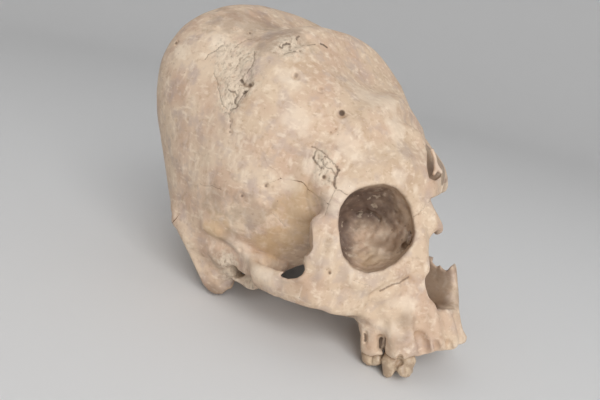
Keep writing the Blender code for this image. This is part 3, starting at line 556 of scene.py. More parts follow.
# Nasal opening
NOSE_WIDTH, NOSE_HEIGHT, NOSE_TAPER = 23.5, 35.0, 0.42
NOSE_MIDDLE_SHARE = -0.125
NOSE_BACK_SHARE = 0.70


def nose_distance(x, y, z):
    """Distance outside the front of the nasal opening."""
    high = (z - NOSE_MIDDLE_SHARE * FACE_HEIGHT) / (NOSE_HEIGHT / 2)
    wide = x / (NOSE_WIDTH / 2 * (1 - NOSE_TAPER * np.clip(high, -1, 1)))
    reach = (np.sqrt(wide * wide + high * high) - 1) * NOSE_WIDTH / 2
    return np.maximum(reach, y + NOSE_BACK_SHARE * FACE_DEPTH).astype(np.float32)


def chain_distance(chain, x, y, z):
    """Distance from a chain of balls, each (place, radius), joined by cones."""
    nearest = None
    for (start, start_radius), (end, end_radius) in zip(chain, chain[1:] or chain):
        run = end - start
        length = max(float(run @ run), 1e-6)
        share = ((x - start[0]) * run[0] + (y - start[1]) * run[1] + (z - start[2]) * run[2]) / length
        share = np.clip(share, 0, 1)
        away = np.sqrt((x - start[0] - share * run[0]) ** 2 + (y - start[1] - share * run[1]) ** 2
                       + (z - start[2] - share * run[2]) ** 2)
        away = away - (start_radius + (end_radius - start_radius) * share)
        nearest = away if nearest is None else np.minimum(nearest, away)
    return nearest.astype(np.float32)


def corners_of(chain, reach):
    """The box round a chain of balls."""
    places = np.array([place for place, _ in chain])
    reach = reach + max(radius for _, radius in chain)
    return places.min(axis=0) - reach, places.max(axis=0) + reach


# Softening of the blocked-out form, in millimetres: rounding of its inner corners, spreads of the light
# and the broad blur, and the depths of bone over which one passes into the other.
CLOSING = 1.3
FINE_SPREAD, BROAD_SPREAD = 0.6, 1.7
THICKNESS_REACH, THIN, THICK = 3.0, 1.4, 2.8
TOOTH_GAP = 0.2
# The braincase's wall gives way to its smooth form up to this difference.
AGREE_NEAR, AGREE_FAR = 0.9, 1.8
# Length and height of the undulations.
WAVES = ((14.0, 0.30), (6.0, 0.12))


def softened(union):
    """The bones' common form without its facets: broad where it is thick, light where it is thin."""
    fine = blurred(union, FINE_SPREAD, STEP)
    broad = blurred(union, BROAD_SPREAD, STEP)
    depth = grown(-fine, THICKNESS_REACH, STEP)
    return fine + (broad - fine) * eased(depth, THIN, THICK)


def with_vault(whole):
    """The braincase's faceted wall made smooth where it agrees with the true form."""
    outside = vault_distance(*Grid(whole, LOW, STEP).everywhere()) + np.float32(VAULT_INSET)
    wall = np.maximum(outside, -outside - np.float32(VAULT_WALL - VAULT_INSET))
    agreement = 1 - eased(np.abs(whole - wall), AGREE_NEAR, AGREE_FAR)
    return whole + (wall - whole) * agreement


def lumps(shape, step, kinds, chance):
    """Random lumps on a grid of this shape; kinds gives their lengths and heights in millimetres."""
    total = np.zeros(shape, np.float32)
    for length, height in kinds:
        coarse = np.maximum((np.array(shape) * step / length).astype(int) + 2, 2)
        total += height * stretched(chance.standard_normal(coarse).astype(np.float32), shape)
    return total


# Silhouettes that the bone is trimmed to, and chains of marks, as pixels of the photograph

FACE_OUTLINE_PIXELS = (
    (428, 138), (437, 152), (446, 168), (450, 184), (446, 191), (437, 196), (430, 199), (434, 208),
    (438, 215), (442, 223), (446, 231), (440, 234), (435, 239), (433, 248), (434, 256), (432, 262),
    (437, 267), (440, 265), (443, 269), (447, 271), (450, 267), (455, 263), (458, 269), (459, 290),
    (459, 308), (461, 322), (463, 330), (467, 337), (466, 344), (459, 348), (452, 353), (444, 351),
    (437, 352), (430, 354), (424, 357), (417, 363), (414, 384), (378, 384), (379, 367), (368, 366),
    (362, 361), (360, 350), (360, 335), (358, 323), (354, 318), (335, 315), (310, 310), (280, 299),
    (262, 290), (200, 290), (200, 40), (380, 40),
)
BASE_OUTLINE_PIXELS = (
    (150, 120), (170, 205), (172, 214), (171, 222), (177, 230), (191, 258), (203, 284), (207, 290),
    (215, 294), (222, 294), (228, 289), (236, 290), (244, 289), (250, 292), (257, 294), (262, 289),
    (266, 284), (300, 300), (420, 330), (420, 120),
)
VAULT_OUTLINE_PIXELS = (
    (100, -10), (240, -10), (301, 17), (325, 23), (350, 33), (379, 48), (392, 63), (398, 78), (404, 93),
    (410, 108), (420, 124), (430, 139), (447, 165), (470, 200), (470, 500), (100, 500),
)
# Outline, the corners of the box that it trims, rounding.
TRIMS = (
    (VAULT_OUTLINE_PIXELS, (-80, -110, 0), (80, 20, 160), 5.0),
    (FACE_OUTLINE_PIXELS, (-70, -100, -70), (70, -52, 50), 0.7),
    (FACE_OUTLINE_PIXELS, (-40, -56, -70), (40, -34, -22), 0.7),
    (BASE_OUTLINE_PIXELS, (-75, -20, -30), (75, 90, 40), 0.7),
)

# Rows of ridges: pixels, ball radius in millimetres, how far below the face they start, rounding.
RIDGES = (
    (((333, 154), (345, 143), (362, 135), (382, 130), (400, 131), (414, 138)), 3.0, 2.6, 9.0),
    (((329, 160), (326, 176), (326, 190)), 2.6, 2.4, 6.0),
    (((192, 236), (206, 242), (222, 249)), 3.4, 2.0, 9.0),
    (((207, 226), (218, 231), (231, 240), (243, 251), (252, 260)), 2.2, 0.2, 4.5),
    (((350, 322), (366, 328), (367, 340), (368, 350)), 2.6, 1.0, 3.0),
    (((374, 332), (374, 341), (374, 349)), 2.2, 0.8, 3.0),
    (((391, 320), (394, 336), (396, 350)), 2.2, 0.8, 3.5),
    (((408, 318), (410, 334), (408, 350)), 2.4, 0.9, 3.5),
    (((430, 308), (433, 322), (436, 340)), 2.4, 0.9, 4.0),
    (((446, 314), (451, 328), (453, 342)), 2.0, 0.8, 3.5),
    (((352, 281), (370, 287), (384, 284), (400, 276)), 2.0, 1.1, 4.0),
    (((337, 238), (330, 256), (322, 276)), 2.6, 1.2, 5.0),
    (((420, 232), (421, 250), (424, 268)), 2.0, 0.9, 3.5),
    (((437, 306), (446, 311), (454, 312)), 1.3, 0.2, 1.5),
    (((350, 133), (366, 122), (382, 115), (396, 111)), 8.0, 8.0, 6.0),
    (((252, 268), (262, 273), (274, 281)), 3.2, 2.7, 4.0),
)

# Fills: (pixel, neighbour that gives the depth) along a row, how far behind the face, radius, rounding.
FILLS = (
    ((((318, 222), (330, 222)), ((313, 232), (327, 233)), ((311, 243), (325, 243)),
      ((311, 254), (325, 254)), ((310, 265), (322, 268)), ((303, 275), (316, 278))), 2.8, 2.8, 4.0),
    ((((322, 228), (330, 228)), ((319, 238), (328, 238)), ((318, 250), (328, 250)),
      ((317, 262), (326, 264))), 2.6, 2.8, 4.0),
    ((((314, 156), (314, 156)), ((311, 172), (311, 172)), ((309, 188), (309, 188)),
      ((306, 202), (306, 202))), 3.8, 5.0, 9.0),
    ((((184, 215), (186, 210)), ((188, 229), (192, 228)), ((193, 241), (192, 228)),
      ((198, 252), (192, 228)), ((204, 264), (192, 228))), 13.0, 7.0, 7.0),
)
# Through the gap between the cheek arch and the braincase the ground shows.
GAP_PIXELS = (
    (280, 276), (286, 271), (295, 267), (304, 264), (305, 270), (302, 275), (297, 278), (288, 279),
)
GAP_CORNERS = ((-72, -60, -40), (0, 70, 25))
# The left brow is broken open into its sinus.
SINUS_PIXELS = (
    (427, 154), (431, 150), (436, 155), (440, 163), (442, 171), (440, 177), (435, 181), (429, 178),
    (427, 168),
)
SINUS_MIDDLE, SINUS_DEPTH, SINUS_REACH = (431, 167), 10.0, 22.0
# Ridges across its floor: share of the depth and radius; then the same for the row of painted shade round it,
# and that shade's darkness.
RIDGE_SHARE, RIDGE_RADIUS = 0.45, 0.9
SHADE_SHARE, SHADE_RADIUS, SHADE_DARKNESS = 1.2, 4.2, 0.56
SINUS_RIDGES = (((432, 150), (435, 158), (436, 168), (434, 174)), ((436, 166), (441, 172)))
# A wall behind the trimmed outline of the braincase: its breadth, how far inside it starts, how deep it goes.
BACKING, BACKING_INSET, BACKING_DEPTH = 3.6, 0.4, 7.92
BACKING_CORNERS = ((-20, -90, 55), (78, 10, 150))

# Places that are smoothed: pixel, reach and spread in millimetres; how much, and the share of the reach
# where that starts to fade.
SMOOTHING, SMOOTH_INNER = 0.9, 0.55
SMOOTHED = (((232, 268), 16.0, 1.9), ((248, 283), 7.0, 1.4))

# Rows of hollows in the same form as the ridges.
HOLLOWS = (
    (((411, 277), (400, 282), (385, 289), (374, 295)), 1.7, -0.4, 2.2),
    (((410, 296), (404, 306), (398, 312)), 5.0, -3.6, 3.0),
    (((376, 310), (380, 322)), 4.0, -2.8, 3.0),
    (((423, 312), (422, 328)), 3.0, -2.3, 2.5),
    (((219, 259), (228, 267), (236, 275)), 7.0, -4.0, 5.0),
    (((243, 279), (252, 283)), 3.0, -1.8, 3.0),
    (((380, 337), (381, 343), (380, 349)), 1.3, 0.3, 1.2),
    (((365, 332), (366, 338), (365, 343)), 0.8, 0.2, 1.0),
    (((419, 336), (423, 343), (424, 350)), 2.8, 0.6, 1.5),
    (((436, 343), (438, 351)), 1.5, 0.3, 1.0),
    (((448, 342), (451, 350)), 1.5, 0.3, 1.0),
    (((459, 341), (461, 346)), 1.2, 0.3, 1.0),
    (((411, 237), (408, 242), (404, 248)), 1.7, -0.2, 1.5),
    (((400, 357), (400, 363)), 1.3, 0.6, 0.8),
    (((357, 214), (366, 212), (374, 214), (379, 219)), 1.2, 0.0, 1.0),
    (((232, 60), (238, 76), (236, 92), (228, 100)), 4.5, -4.4, 2.5),
    (((247, 70), (246, 84), (240, 94)), 2.2, -2.0, 1.2),
    (((281, 50), (296, 42), (311, 37)), 2.6, -2.1, 2.5),
)

# Rows of cracks: pixels, half width and depth in millimetres.
CRACKS = (
    (((312, 146), (319, 150), (326, 155), (334, 164), (337, 166)), 0.45, 0.4),
    (((337, 166), (339, 170), (336, 175), (334, 181), (336, 188)), 0.60, 0.6),
    (((335, 188), (332, 196), (328, 206), (325, 215)), 0.30, 0.3),
    (((326, 155), (321, 160), (325, 166), (331, 169), (336, 174)), 0.35, 0.4),
    (((316, 150), (313, 158), (317, 164), (321, 168), (319, 175)), 0.45, 0.4),
    (((335, 188), (341, 191), (348, 195)), 0.35, 0.3),
    (((205, 59), (211, 53), (217, 49), (223, 45)), 0.35, 0.3),
    (((235, 48), (240, 43), (244, 40), (252, 39)), 0.30, 0.3),
    (((254, 51), (255, 59), (251, 67), (247, 73)), 0.40, 0.4),
    (((214, 73), (217, 80), (219, 92), (224, 106), (229, 111)), 0.35, 0.3),
    (((241, 80), (245, 86), (251, 84), (248, 91), (244, 93)), 0.70, 0.8),
    (((229, 90), (235, 92), (238, 96), (234, 101), (237, 106), (230, 110)), 0.50, 0.5),
    (((244, 93), (240, 99), (236, 106)), 0.40, 0.4),
    (((229, 111), (230, 118), (230, 126), (230, 133)), 0.40, 0.4),
    (((224, 113), (229, 111), (234, 108)), 0.30, 0.3),
    (((280, 47), (286, 44), (290, 44)), 0.60, 0.6),
    (((296, 39), (299, 36)), 0.60, 0.5),
    (((284, 54), (292, 51), (301, 51)), 0.40, 0.4),
    (((308, 44), (315, 44)), 0.45, 0.5),
    (((321, 43), (327, 47)), 0.70, 0.7),
    (((199, 184), (206, 186), (215, 187), (221, 190)), 0.30, 0.3),
    (((272, 212), (279, 219), (285, 227)), 0.22, 0.2),
    (((430, 200), (424, 207), (419, 214), (413, 217)), 0.30, 0.2),
    (((408, 278), (400, 282), (390, 286), (380, 291)), 0.45, 0.3),
    (((353, 280), (362, 284), (370, 286)), 0.20, 0.1),
    (((382, 356), (383, 362), (382, 367)), 0.45, 0.5),
    (((357, 214), (366, 212), (374, 214), (379, 219)), 0.50, 0.5),
    (((412, 237), (409, 243), (405, 248)), 0.80, 0.8),
    (((381, 339), (381, 347)), 0.90, 0.6),
    (((365, 334), (365, 341)), 0.60, 0.5),
)

# Pits: pixel and radius in millimetres. The faint ones are less dark.
PITS = (
    (176, 43, 1.1), (250, 33, 0.9), (235, 29, 0.6), (230, 36, 0.5), (225, 35, 0.5), (342, 113, 1.7),
    (336, 129, 0.6), (331, 132, 0.6), (242, 196, 0.9), (266, 186, 0.9), (324, 177, 1.1), (330, 273, 0.9),
    (327, 270, 0.5), (250, 85, 1.2), (244, 84, 1.0), (230, 121, 0.7), (230, 132, 0.8), (300, 51, 0.8),
    (331, 40, 0.6), (272, 148, 0.5), (318, 158, 0.5), (330, 162, 0.6), (320, 171, 0.5), (328, 181, 0.5),
    (392, 230, 0.7), (398, 222, 0.6), (400, 232, 0.6), (386, 222, 0.6), (395, 212, 0.6), (402, 240, 0.7),
    (405, 226, 0.6), (390, 258, 0.5), (398, 250, 0.6),
)
FAINT_PITS = (
    (296, 75, 1.6), (321, 89, 1.4), (240, 250, 0.8),
)
FAINTER = 0.38

# Darkness of a pit and of a crack of no size, and what each millimetre adds.
PIT_DARKNESS, CRACK_DARKNESS = (0.42, 0.33), (0.42, 0.55)
CRACK_SOFT = 0.45

# Patches: pixel and radius in millimetres.
ERODED = (
    (320, 160, 4), (325, 169, 5), (330, 179, 3), (226, 262, 5), (234, 274, 5), (250, 285, 4), (236, 62, 9),
    (238, 84, 9), (231, 102, 6), (290, 48, 7), (226, 50, 6),
)
# Pale patches: paler bone, and painted light on the eye socket's floor and on the root of the cheek arch.
PALE_AND_LIT = (
    (322, 168, 6), (341, 196, 6), (334, 204, 4), (376, 98, 11), (390, 108, 8), (238, 250, 5), (249, 259, 7),
    (262, 269, 7), (290, 186, 4), (287, 78, 6), (258, 264, 6), (246, 254, 5), (380, 250, 7), (384, 236, 4),
    (448, 188, 4), (350, 150, 7), (396, 130, 6), (400, 178, 4), (300, 120, 6), (180, 52, 4), (220, 40, 5),
    (404, 300, 6), (392, 330, 5),
)
OCHRE = (
    (298, 218, 11), (284, 236, 9), (302, 198, 7), (268, 246, 7), (216, 225, 6), (375, 256, 6),
)
# Dusky patches paint shade: in the valley on the crown, the ear opening, the eye socket, the nasal opening,
# the broken sinus and other hollows and undersides.
DUSKY_SHADE = (
    (250, 212, 9), (215, 196, 8), (330, 205, 5), (272, 40, 10), (296, 36, 8), (236, 20, 12), (262, 24, 10),
    (236, 272, 8), (362, 205, 12), (345, 225, 9), (232, 240, 5), (398, 342, 4), (382, 342, 3),
    (256, 290, 4), (215, 292, 4), (440, 284, 12), (402, 322, 5), (431, 166, 4), (222, 262, 7),
    (230, 270, 7), (240, 278, 6),
)
PATCHES = {"eroded": ERODED, "pale_and_lit": PALE_AND_LIT, "ochre": OCHRE, "dusky_shade": DUSKY_SHADE}
# Where a patch is full, where it ends, the box that it is shaped in and where its mark ends, in radii.
PATCH_INNER, PATCH_OUTER, PATCH_BOX, PATCH_FADE = 0.4, 1.3, 1.4, 1.8
# Unevenness of a crack's course in pixels, and the places between two of its pixels.
WANDER = 0.9
BETWEEN = (0.0, 0.33, 0.67)


def wandering(row, chance):
    """A row of pixels with uneven steps between them."""
    made = []
    for start, end in zip(row, row[1:]):
        for share in BETWEEN:
            off = chance.normal(0, WANDER / 2, 2)
            made.append(tuple(a + (b - a) * share + extra for a, b, extra in zip(start, end, off)))
    return made + [row[-1]]


# Both eye sockets' rooms, and the box about the nasal opening.
EVERY_ORBIT = ((RIGHT, photographed_orbit), (LEFT, lambda x, y, z: orbit_distance(LEFT, x, y, z)))
NOSE_CORNERS = (
    (-20, -1.2 * FACE_DEPTH, NOSE_MIDDLE_SHARE * FACE_HEIGHT - NOSE_HEIGHT),
    (20, 2 - NOSE_BACK_SHARE * FACE_DEPTH, NOSE_MIDDLE_SHARE * FACE_HEIGHT + NOSE_HEIGHT),
)
# Lumps of the eroded patches and of the sockets' walls: length and height; the deepest pit in a socket.
PATCH_LUMPS = ((1.5, 0.32), (3.0, 0.22))
SOCKET_LUMPS = ((4.5, 0.55), (2.0, 0.28))
SOCKET_DEEPEST = 0.9
# Shares of the way in over which a socket grows uneven, how near to it that holds, and the boxes about it.
UNEVEN_SHARES, NEAR_SOCKET = (0.06, 0.25), (2.5, 5.0)
SOCKET_BOX, ORBIT_BOX = 34, 30


def roughen(grid):
    """Eroded patches and the walls of the eye sockets."""
    chance = np.random.default_rng(7)
    for u, v, radius in ERODED:
        middle = grid.met_by((u, v))
        place, axes = grid.window(middle - PATCH_BOX * radius, middle + PATCH_BOX * radius)
        away = away_from(middle, *axes)
        amount = 1 - eased(away, PATCH_INNER * radius, PATCH_OUTER * radius)
        grid.values[place] += amount * lumps(away.shape, grid.step, PATCH_LUMPS, chance)
    for side in (RIGHT, LEFT):
        apex, mouth, _, _ = orbit_frame(side)
        middle = (apex + mouth) / 2
        place, axes = grid.window(middle - SOCKET_BOX, middle + SOCKET_BOX)
        along, _, _ = orbit_place(side, *axes)
        deep = eased(1 - along, *UNEVEN_SHARES)
        amount = deep * (1 - eased(orbit_distance(side, *axes), *NEAR_SOCKET))
        uneven = lumps(amount.shape, grid.step, SOCKET_LUMPS, chance)
        grid.values[place] += amount * np.minimum(uneven, SOCKET_DEEPEST)


def smooth_places(grid):
    """Soften the form round some pixels."""
    for pixel, reach, spread in SMOOTHED:
        middle = grid.met_by(pixel)
        place, axes = grid.window(middle - reach, middle + reach)
        share = SMOOTHING * (1 - eased(away_from(middle, *axes), SMOOTH_INNER * reach, reach))
        part = grid.values[place]
        grid.values[place] = part + (blurred(part, spread, grid.step) - part) * share


def backing(x, y, z):
    """Distance outside a wall just within the trimmed outline of the braincase."""
    beyond = outside_outline(VAULT_OUTLINE_PIXELS, x, y, z)
    outer = vault_distance(x, y, z)
    wall = np.maximum(beyond, -beyond - np.float32(BACKING))
    shell = np.maximum(outer + np.float32(BACKING_INSET), -outer - np.float32(BACKING_DEPTH))
    return np.maximum(wall, shell)


def open_sinus(grid):
    """A pocket with inner ridges where the brow is broken."""
    start = grid.met_by(SINUS_MIDDLE)
    limit = (start - EYE) @ EYE_FORWARD + SINUS_DEPTH

    def room(x, y, z):
        depth = pixels_at(x, y, z)[2]
        return np.maximum(outside_outline(SINUS_PIXELS, x, y, z), depth - limit).astype(np.float32)

    grid.carve(room, (start - SINUS_REACH, start + SINUS_REACH), round_off=1.0)
    for row in SINUS_RIDGES:
        chain = [(level_with(pixel, SINUS_MIDDLE, RIDGE_SHARE * SINUS_DEPTH), RIDGE_RADIUS) for pixel in row]
        grid.add(chain, round_off=1.5)


def sculpt(grid):
    """Lip, fills, ridges, openings, rough patches and hollows, each seated on the bone that its pixels show;
    then trims, a backing wall and the broken sinus.
    """
    smooth_places(grid)
    grid.add(orbit_lip(), round_off=3.0)
    for row, deeper, radius, round_off in FILLS:
        grid.add([(level_with(pixel, neighbour, deeper), radius) for pixel, neighbour in row], round_off)
    for row, radius, deeper, round_off in RIDGES:
        grid.add([(grid.met_by(pixel, deeper), radius) for pixel in row], round_off)
    for side, room in EVERY_ORBIT:
        apex, mouth, _, _ = orbit_frame(side)
        corners = np.minimum(mouth, apex) - ORBIT_BOX, mouth + ORBIT_BOX
        grid.build(lambda *axes: orbit_wall(side, *axes), corners, round_off=1.0)
        grid.carve(room, corners, round_off=1.4)
    grid.carve(nose_distance, NOSE_CORNERS, round_off=1.0)
    grid.carve(lambda *axes: outside_outline(GAP_PIXELS, *axes), GAP_CORNERS, round_off=1.2)
    roughen(grid)
    for row, radius, deeper, round_off in HOLLOWS:
        grid.cut([(grid.met_by(pixel, deeper), radius) for pixel in row], round_off)
    for outline, low, high, round_off in TRIMS:
        grid.trim(outline, low, high, round_off)
    grid.build(backing, BACKING_CORNERS, round_off=1.0)
    open_sinus(grid)


def marked(grid):
    """Cut the cracks and pits; give what the materials show of them, the painted shade deep in the broken
    sinus, and the patches.
    """
    chance = np.random.default_rng(11)
    cracks = [([grid.met_by(pixel) for pixel in wandering(row, chance)], width, depth)
              for row, width, depth in CRACKS]
    pits = [((u, v), radius, 0) for u, v, radius in PITS]
    pits += [((u, v), radius, FAINTER) for u, v, radius in FAINT_PITS]
    pits = [(grid.met_by(pixel), heading_of(pixel), radius, faint) for pixel, radius, faint in pits]
    patches = {name: [(grid.met_by((u, v)), radius) for u, v, radius in rows]
               for name, rows in PATCHES.items()}
    rows = []
    for places, width, depth in cracks:
        grid.cut([(place, max(width, depth)) for place in places], round_off=0.5)
        darkness = min(1.0, CRACK_DARKNESS[0] + CRACK_DARKNESS[1] * width)
        rows.append((places, max(width, depth), CRACK_SOFT, darkness))
    # Painted shade deep in the broken sinus, carried in the crack mark.
    shade = [level_with(pixel, SINUS_MIDDLE, SHADE_SHARE * SINUS_DEPTH) for pixel in SINUS_PIXELS]
    rows.append((shade, SHADE_RADIUS, CRACK_SOFT, SHADE_DARKNESS))
    for place, heading, radius, faint in pits:
        # A wide shallow dish with a narrower pit in it.
        grid.cut([(place - 0.4 * radius * heading, 1.5 * radius)], round_off=0.9)
        grid.cut([(place + 0.4 * radius * heading, 0.8 * radius)], round_off=0.5)
        darkness = PIT_DARKNESS[0] + PIT_DARKNESS[1] * radius - faint
        rows.append(([place + 0.8 * radius * heading], 0.2 + 0.3 * radius, 1.1 * radius, darkness))
    return rows, patches


def shaped(first, second, teeth):
    """The whole bone form: softened, with crisp openings and the marks of life and burial."""
    union = soft_min(first, second, np.float32(CLOSING))
    waves = lumps(COUNTS, STEP, WAVES, np.random.default_rng(5))
    grid = Grid(with_vault(softened(union)) + waves, LOW, STEP)
    sculpt(grid)
    rows, patches = marked(grid)
    np.maximum(grid.values, TOOTH_GAP - teeth, out=grid.values)
    return grid, rows, patches


# Marks that the materials show, as values from 0 to 1 at the vertices

# Painted shade in the eye sockets: the depth where it is full, its strength on the floor and what the roof
# adds, the heights and widths over which that comes in, and the columns of pixels where the right one
# darkens.
SOCKET_SHADE_DEPTH, SOCKET_SHADE_FLOOR, SOCKET_SHADE_ROOF = 16.0, 0.12, 0.75
ROOF_SHADE_HEIGHTS, ROOF_SHADE_WIDTHS = (-13, 5), (2, 14)
SHADED_SIDE_PIXELS = (341, 366)
# Differences from the blurred form that make a hollow and an edge, and depths that are inside, where the
# browner inside colour is part dust and part painted shade.
HOLLOW_DEPTHS, EDGE_HEIGHTS, INSIDE_DEPTHS = (0.05, 0.7), (0.25, 1.1), (2.0, 3.2)


def near_chains(points, rows):
    """How near points are to rows of (places, width, softness, darkness)."""
    most = np.zeros(len(points))
    for chain, width, soft, darkness in rows:
        low, high = corners_of([(place, 0) for place in chain], width + soft)
        close = np.flatnonzero(((points >= low) & (points <= high)).all(axis=1))
        away = chain_distance([(place, 0.0) for place in chain], *points[close].T)
        most[close] = np.maximum(most[close], darkness * (1 - eased(away, width - 0.2, width + soft)))
    return most


def near_patches(points, patches):
    """How near points are to the middles of round patches."""
    most = np.zeros(len(points))
    for place, radius in patches:
        away = np.linalg.norm(points - place, axis=1)
        most = np.maximum(most, 1 - np.clip(away / (PATCH_FADE * radius), 0, 1))
    return most


def marks_at(points, broad, rows, patches):
    """Named marks at points; broad is the whole form, blurred."""
    marks = {name: near_patches(points, places) for name, places in patches.items()}
    marks["crack"] = near_chains(points, rows)
    marks["hollow"] = eased(-broad.read(points), *HOLLOW_DEPTHS)
    marks["edge"] = eased(broad.read(points), *EDGE_HEIGHTS)
    # Painted shade in the eye sockets: darker with depth, more so under the roof and towards the outer side,
    # and in the right one towards its left as the camera sees it.
    socket, walls = np.zeros(len(points)), np.zeros(len(points))
    for side in (RIGHT, LEFT):
        apex, mouth, _, _ = orbit_frame(side)
        along, wide, high = orbit_place(side, *points.T)
        depth = (1 - along) * np.linalg.norm(mouth - apex)
        roof_shade = np.maximum(eased(high, *ROOF_SHADE_HEIGHTS), eased(wide, *ROOF_SHADE_WIDTHS))
        shade = SOCKET_SHADE_FLOOR + SOCKET_SHADE_ROOF * roof_shade
        if side == RIGHT:
            across = pixels_at(*points.T)[0]
            shade = np.maximum(shade, 1 - eased(across, *SHADED_SIDE_PIXELS))
        near = 1 - eased(orbit_distance(side, *points.T), *NEAR_SOCKET)
        walls = np.maximum(walls, near)
        socket = np.maximum(socket, near * eased(depth, 0, SOCKET_SHADE_DEPTH) * shade)
    marks["socket"] = socket
    marks["hollow"] *= 1 - 0.7 * walls
    within = eased(-vault_distance(*points.T.astype(np.float32)), *INSIDE_DEPTHS) * (1 - walls)
    # The nasal passage, which gets the same browner colour of dust and painted shade: its breadth, its front
    # and back, and its top.
    x, y, z = points.T
    nose = (1 - eased(np.abs(x), 9, 15)) * eased(y, -86, -78)
    nose = nose * (1 - eased(y, -40, -30)) * (1 - eased(z, 6, 14))
    marks["inside"] = np.maximum(within, 0.8 * nose)
    return marks


# Meshes

SLOT_OF = {row["node"]: row["material_slot"] for row in frame["record"]["subparts"]}
# Points cut a corner where they lie this far inside both faces; how often and how gently they are moved;
# how near the outer face and the seam a point of the edge between them is. All in steps of the grid.
CORNER_INSIDE, CORNER_TRIES, CORNER_DAMPING = 0.03, 3, 0.05
EDGE_NEAR, EDGE_SEAM = 0.25, 0.9


def surface(values, low, step):
    """The closed skin of a grid, as points in the skull's frame and faces that look outwards."""
    grid = openvdb.FloatGrid(3 * step)
    values = np.clip(values, -3 * step, 3 * step).astype(np.float32)
    grid.copyFromArray(values, ijk=tuple(int(n) for n in low))
    grid.transform = openvdb.createLinearTransform(voxelSize=step)
    points, triangles, quads = grid.convertToPolygons(0.0, 0.0)
    corner = points[quads[:, 0]].astype(float)
    turn = np.cross(points[quads[:, 1]] - corner, points[quads[:, 2]] - corner)
    outwards = (turn * corner).sum() > 0
    faces = triangles.astype(np.int32).tolist() + quads.astype(np.int32).tolist()
    return points.astype(float), faces if outwards else [face[::-1] for face in faces]


def to_corner(points, whole, own):
    """Points that cut the corner between the outer face and a seam, moved onto both."""
    outer = whole.read(points)
    seam = own.read(points)
    shallow = -CORNER_INSIDE * STEP
    cutting = (outer < shallow) & (seam < shallow) & (outer > -STEP) & (seam > -STEP)
    moved = points[cutting]
    for _ in range(CORNER_TRIES):
        rows = np.stack((whole.slopes(moved), own.slopes(moved)), axis=1)
        values = np.column_stack((whole.read(moved), own.read(moved)))
        square = rows @ rows.transpose(0, 2, 1) + CORNER_DAMPING * np.eye(2)
        step_back = np.linalg.solve(square, values[:, :, None])
        moved = moved - (rows.transpose(0, 2, 1) @ step_back)[:, :, 0]
    points[cutting] = points[cutting] + np.clip(moved - points[cutting], -STEP, STEP)
    on_face = np.abs(whole.read(points)) < EDGE_NEAR * STEP
    return points, np.flatnonzero(on_face & (own.read(points) > -EDGE_SEAM * STEP))


def piece_from(name, points, faces, node, material, marks, normals_at=(), normals=()):
    """A finished piece that stands for a node."""
    mesh = bpy.data.meshes.new(name)
    mesh.from_pydata(np.clip(standing(points), cad_low, cad_high).tolist(), [], faces)
    mesh.validate()
    mesh.shade_smooth()
    for mark, values in marks.items():
        mesh.attributes.new(mark, "FLOAT", "POINT").data.foreach_set("value", values.astype(np.float32))
    if len(normals_at):
        every = np.zeros((len(points), 3))
        every[normals_at] = turned(normals, STANCE)
        mesh.normals_split_custom_set_from_vertices(every.tolist())
    piece = bpy.data.objects.new(name, mesh)
    bpy.context.scene.collection.objects.link(piece)
    mesh.materials.append(material)
    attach(piece, "root")
    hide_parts(node)
    return piece


# Materials

def linear(red, green, blue):
    """A colour given as a screen shows it, for a shader."""
    return tuple((value / 255) ** 2.2 for value in (red, green, blue)) + (1.0,)


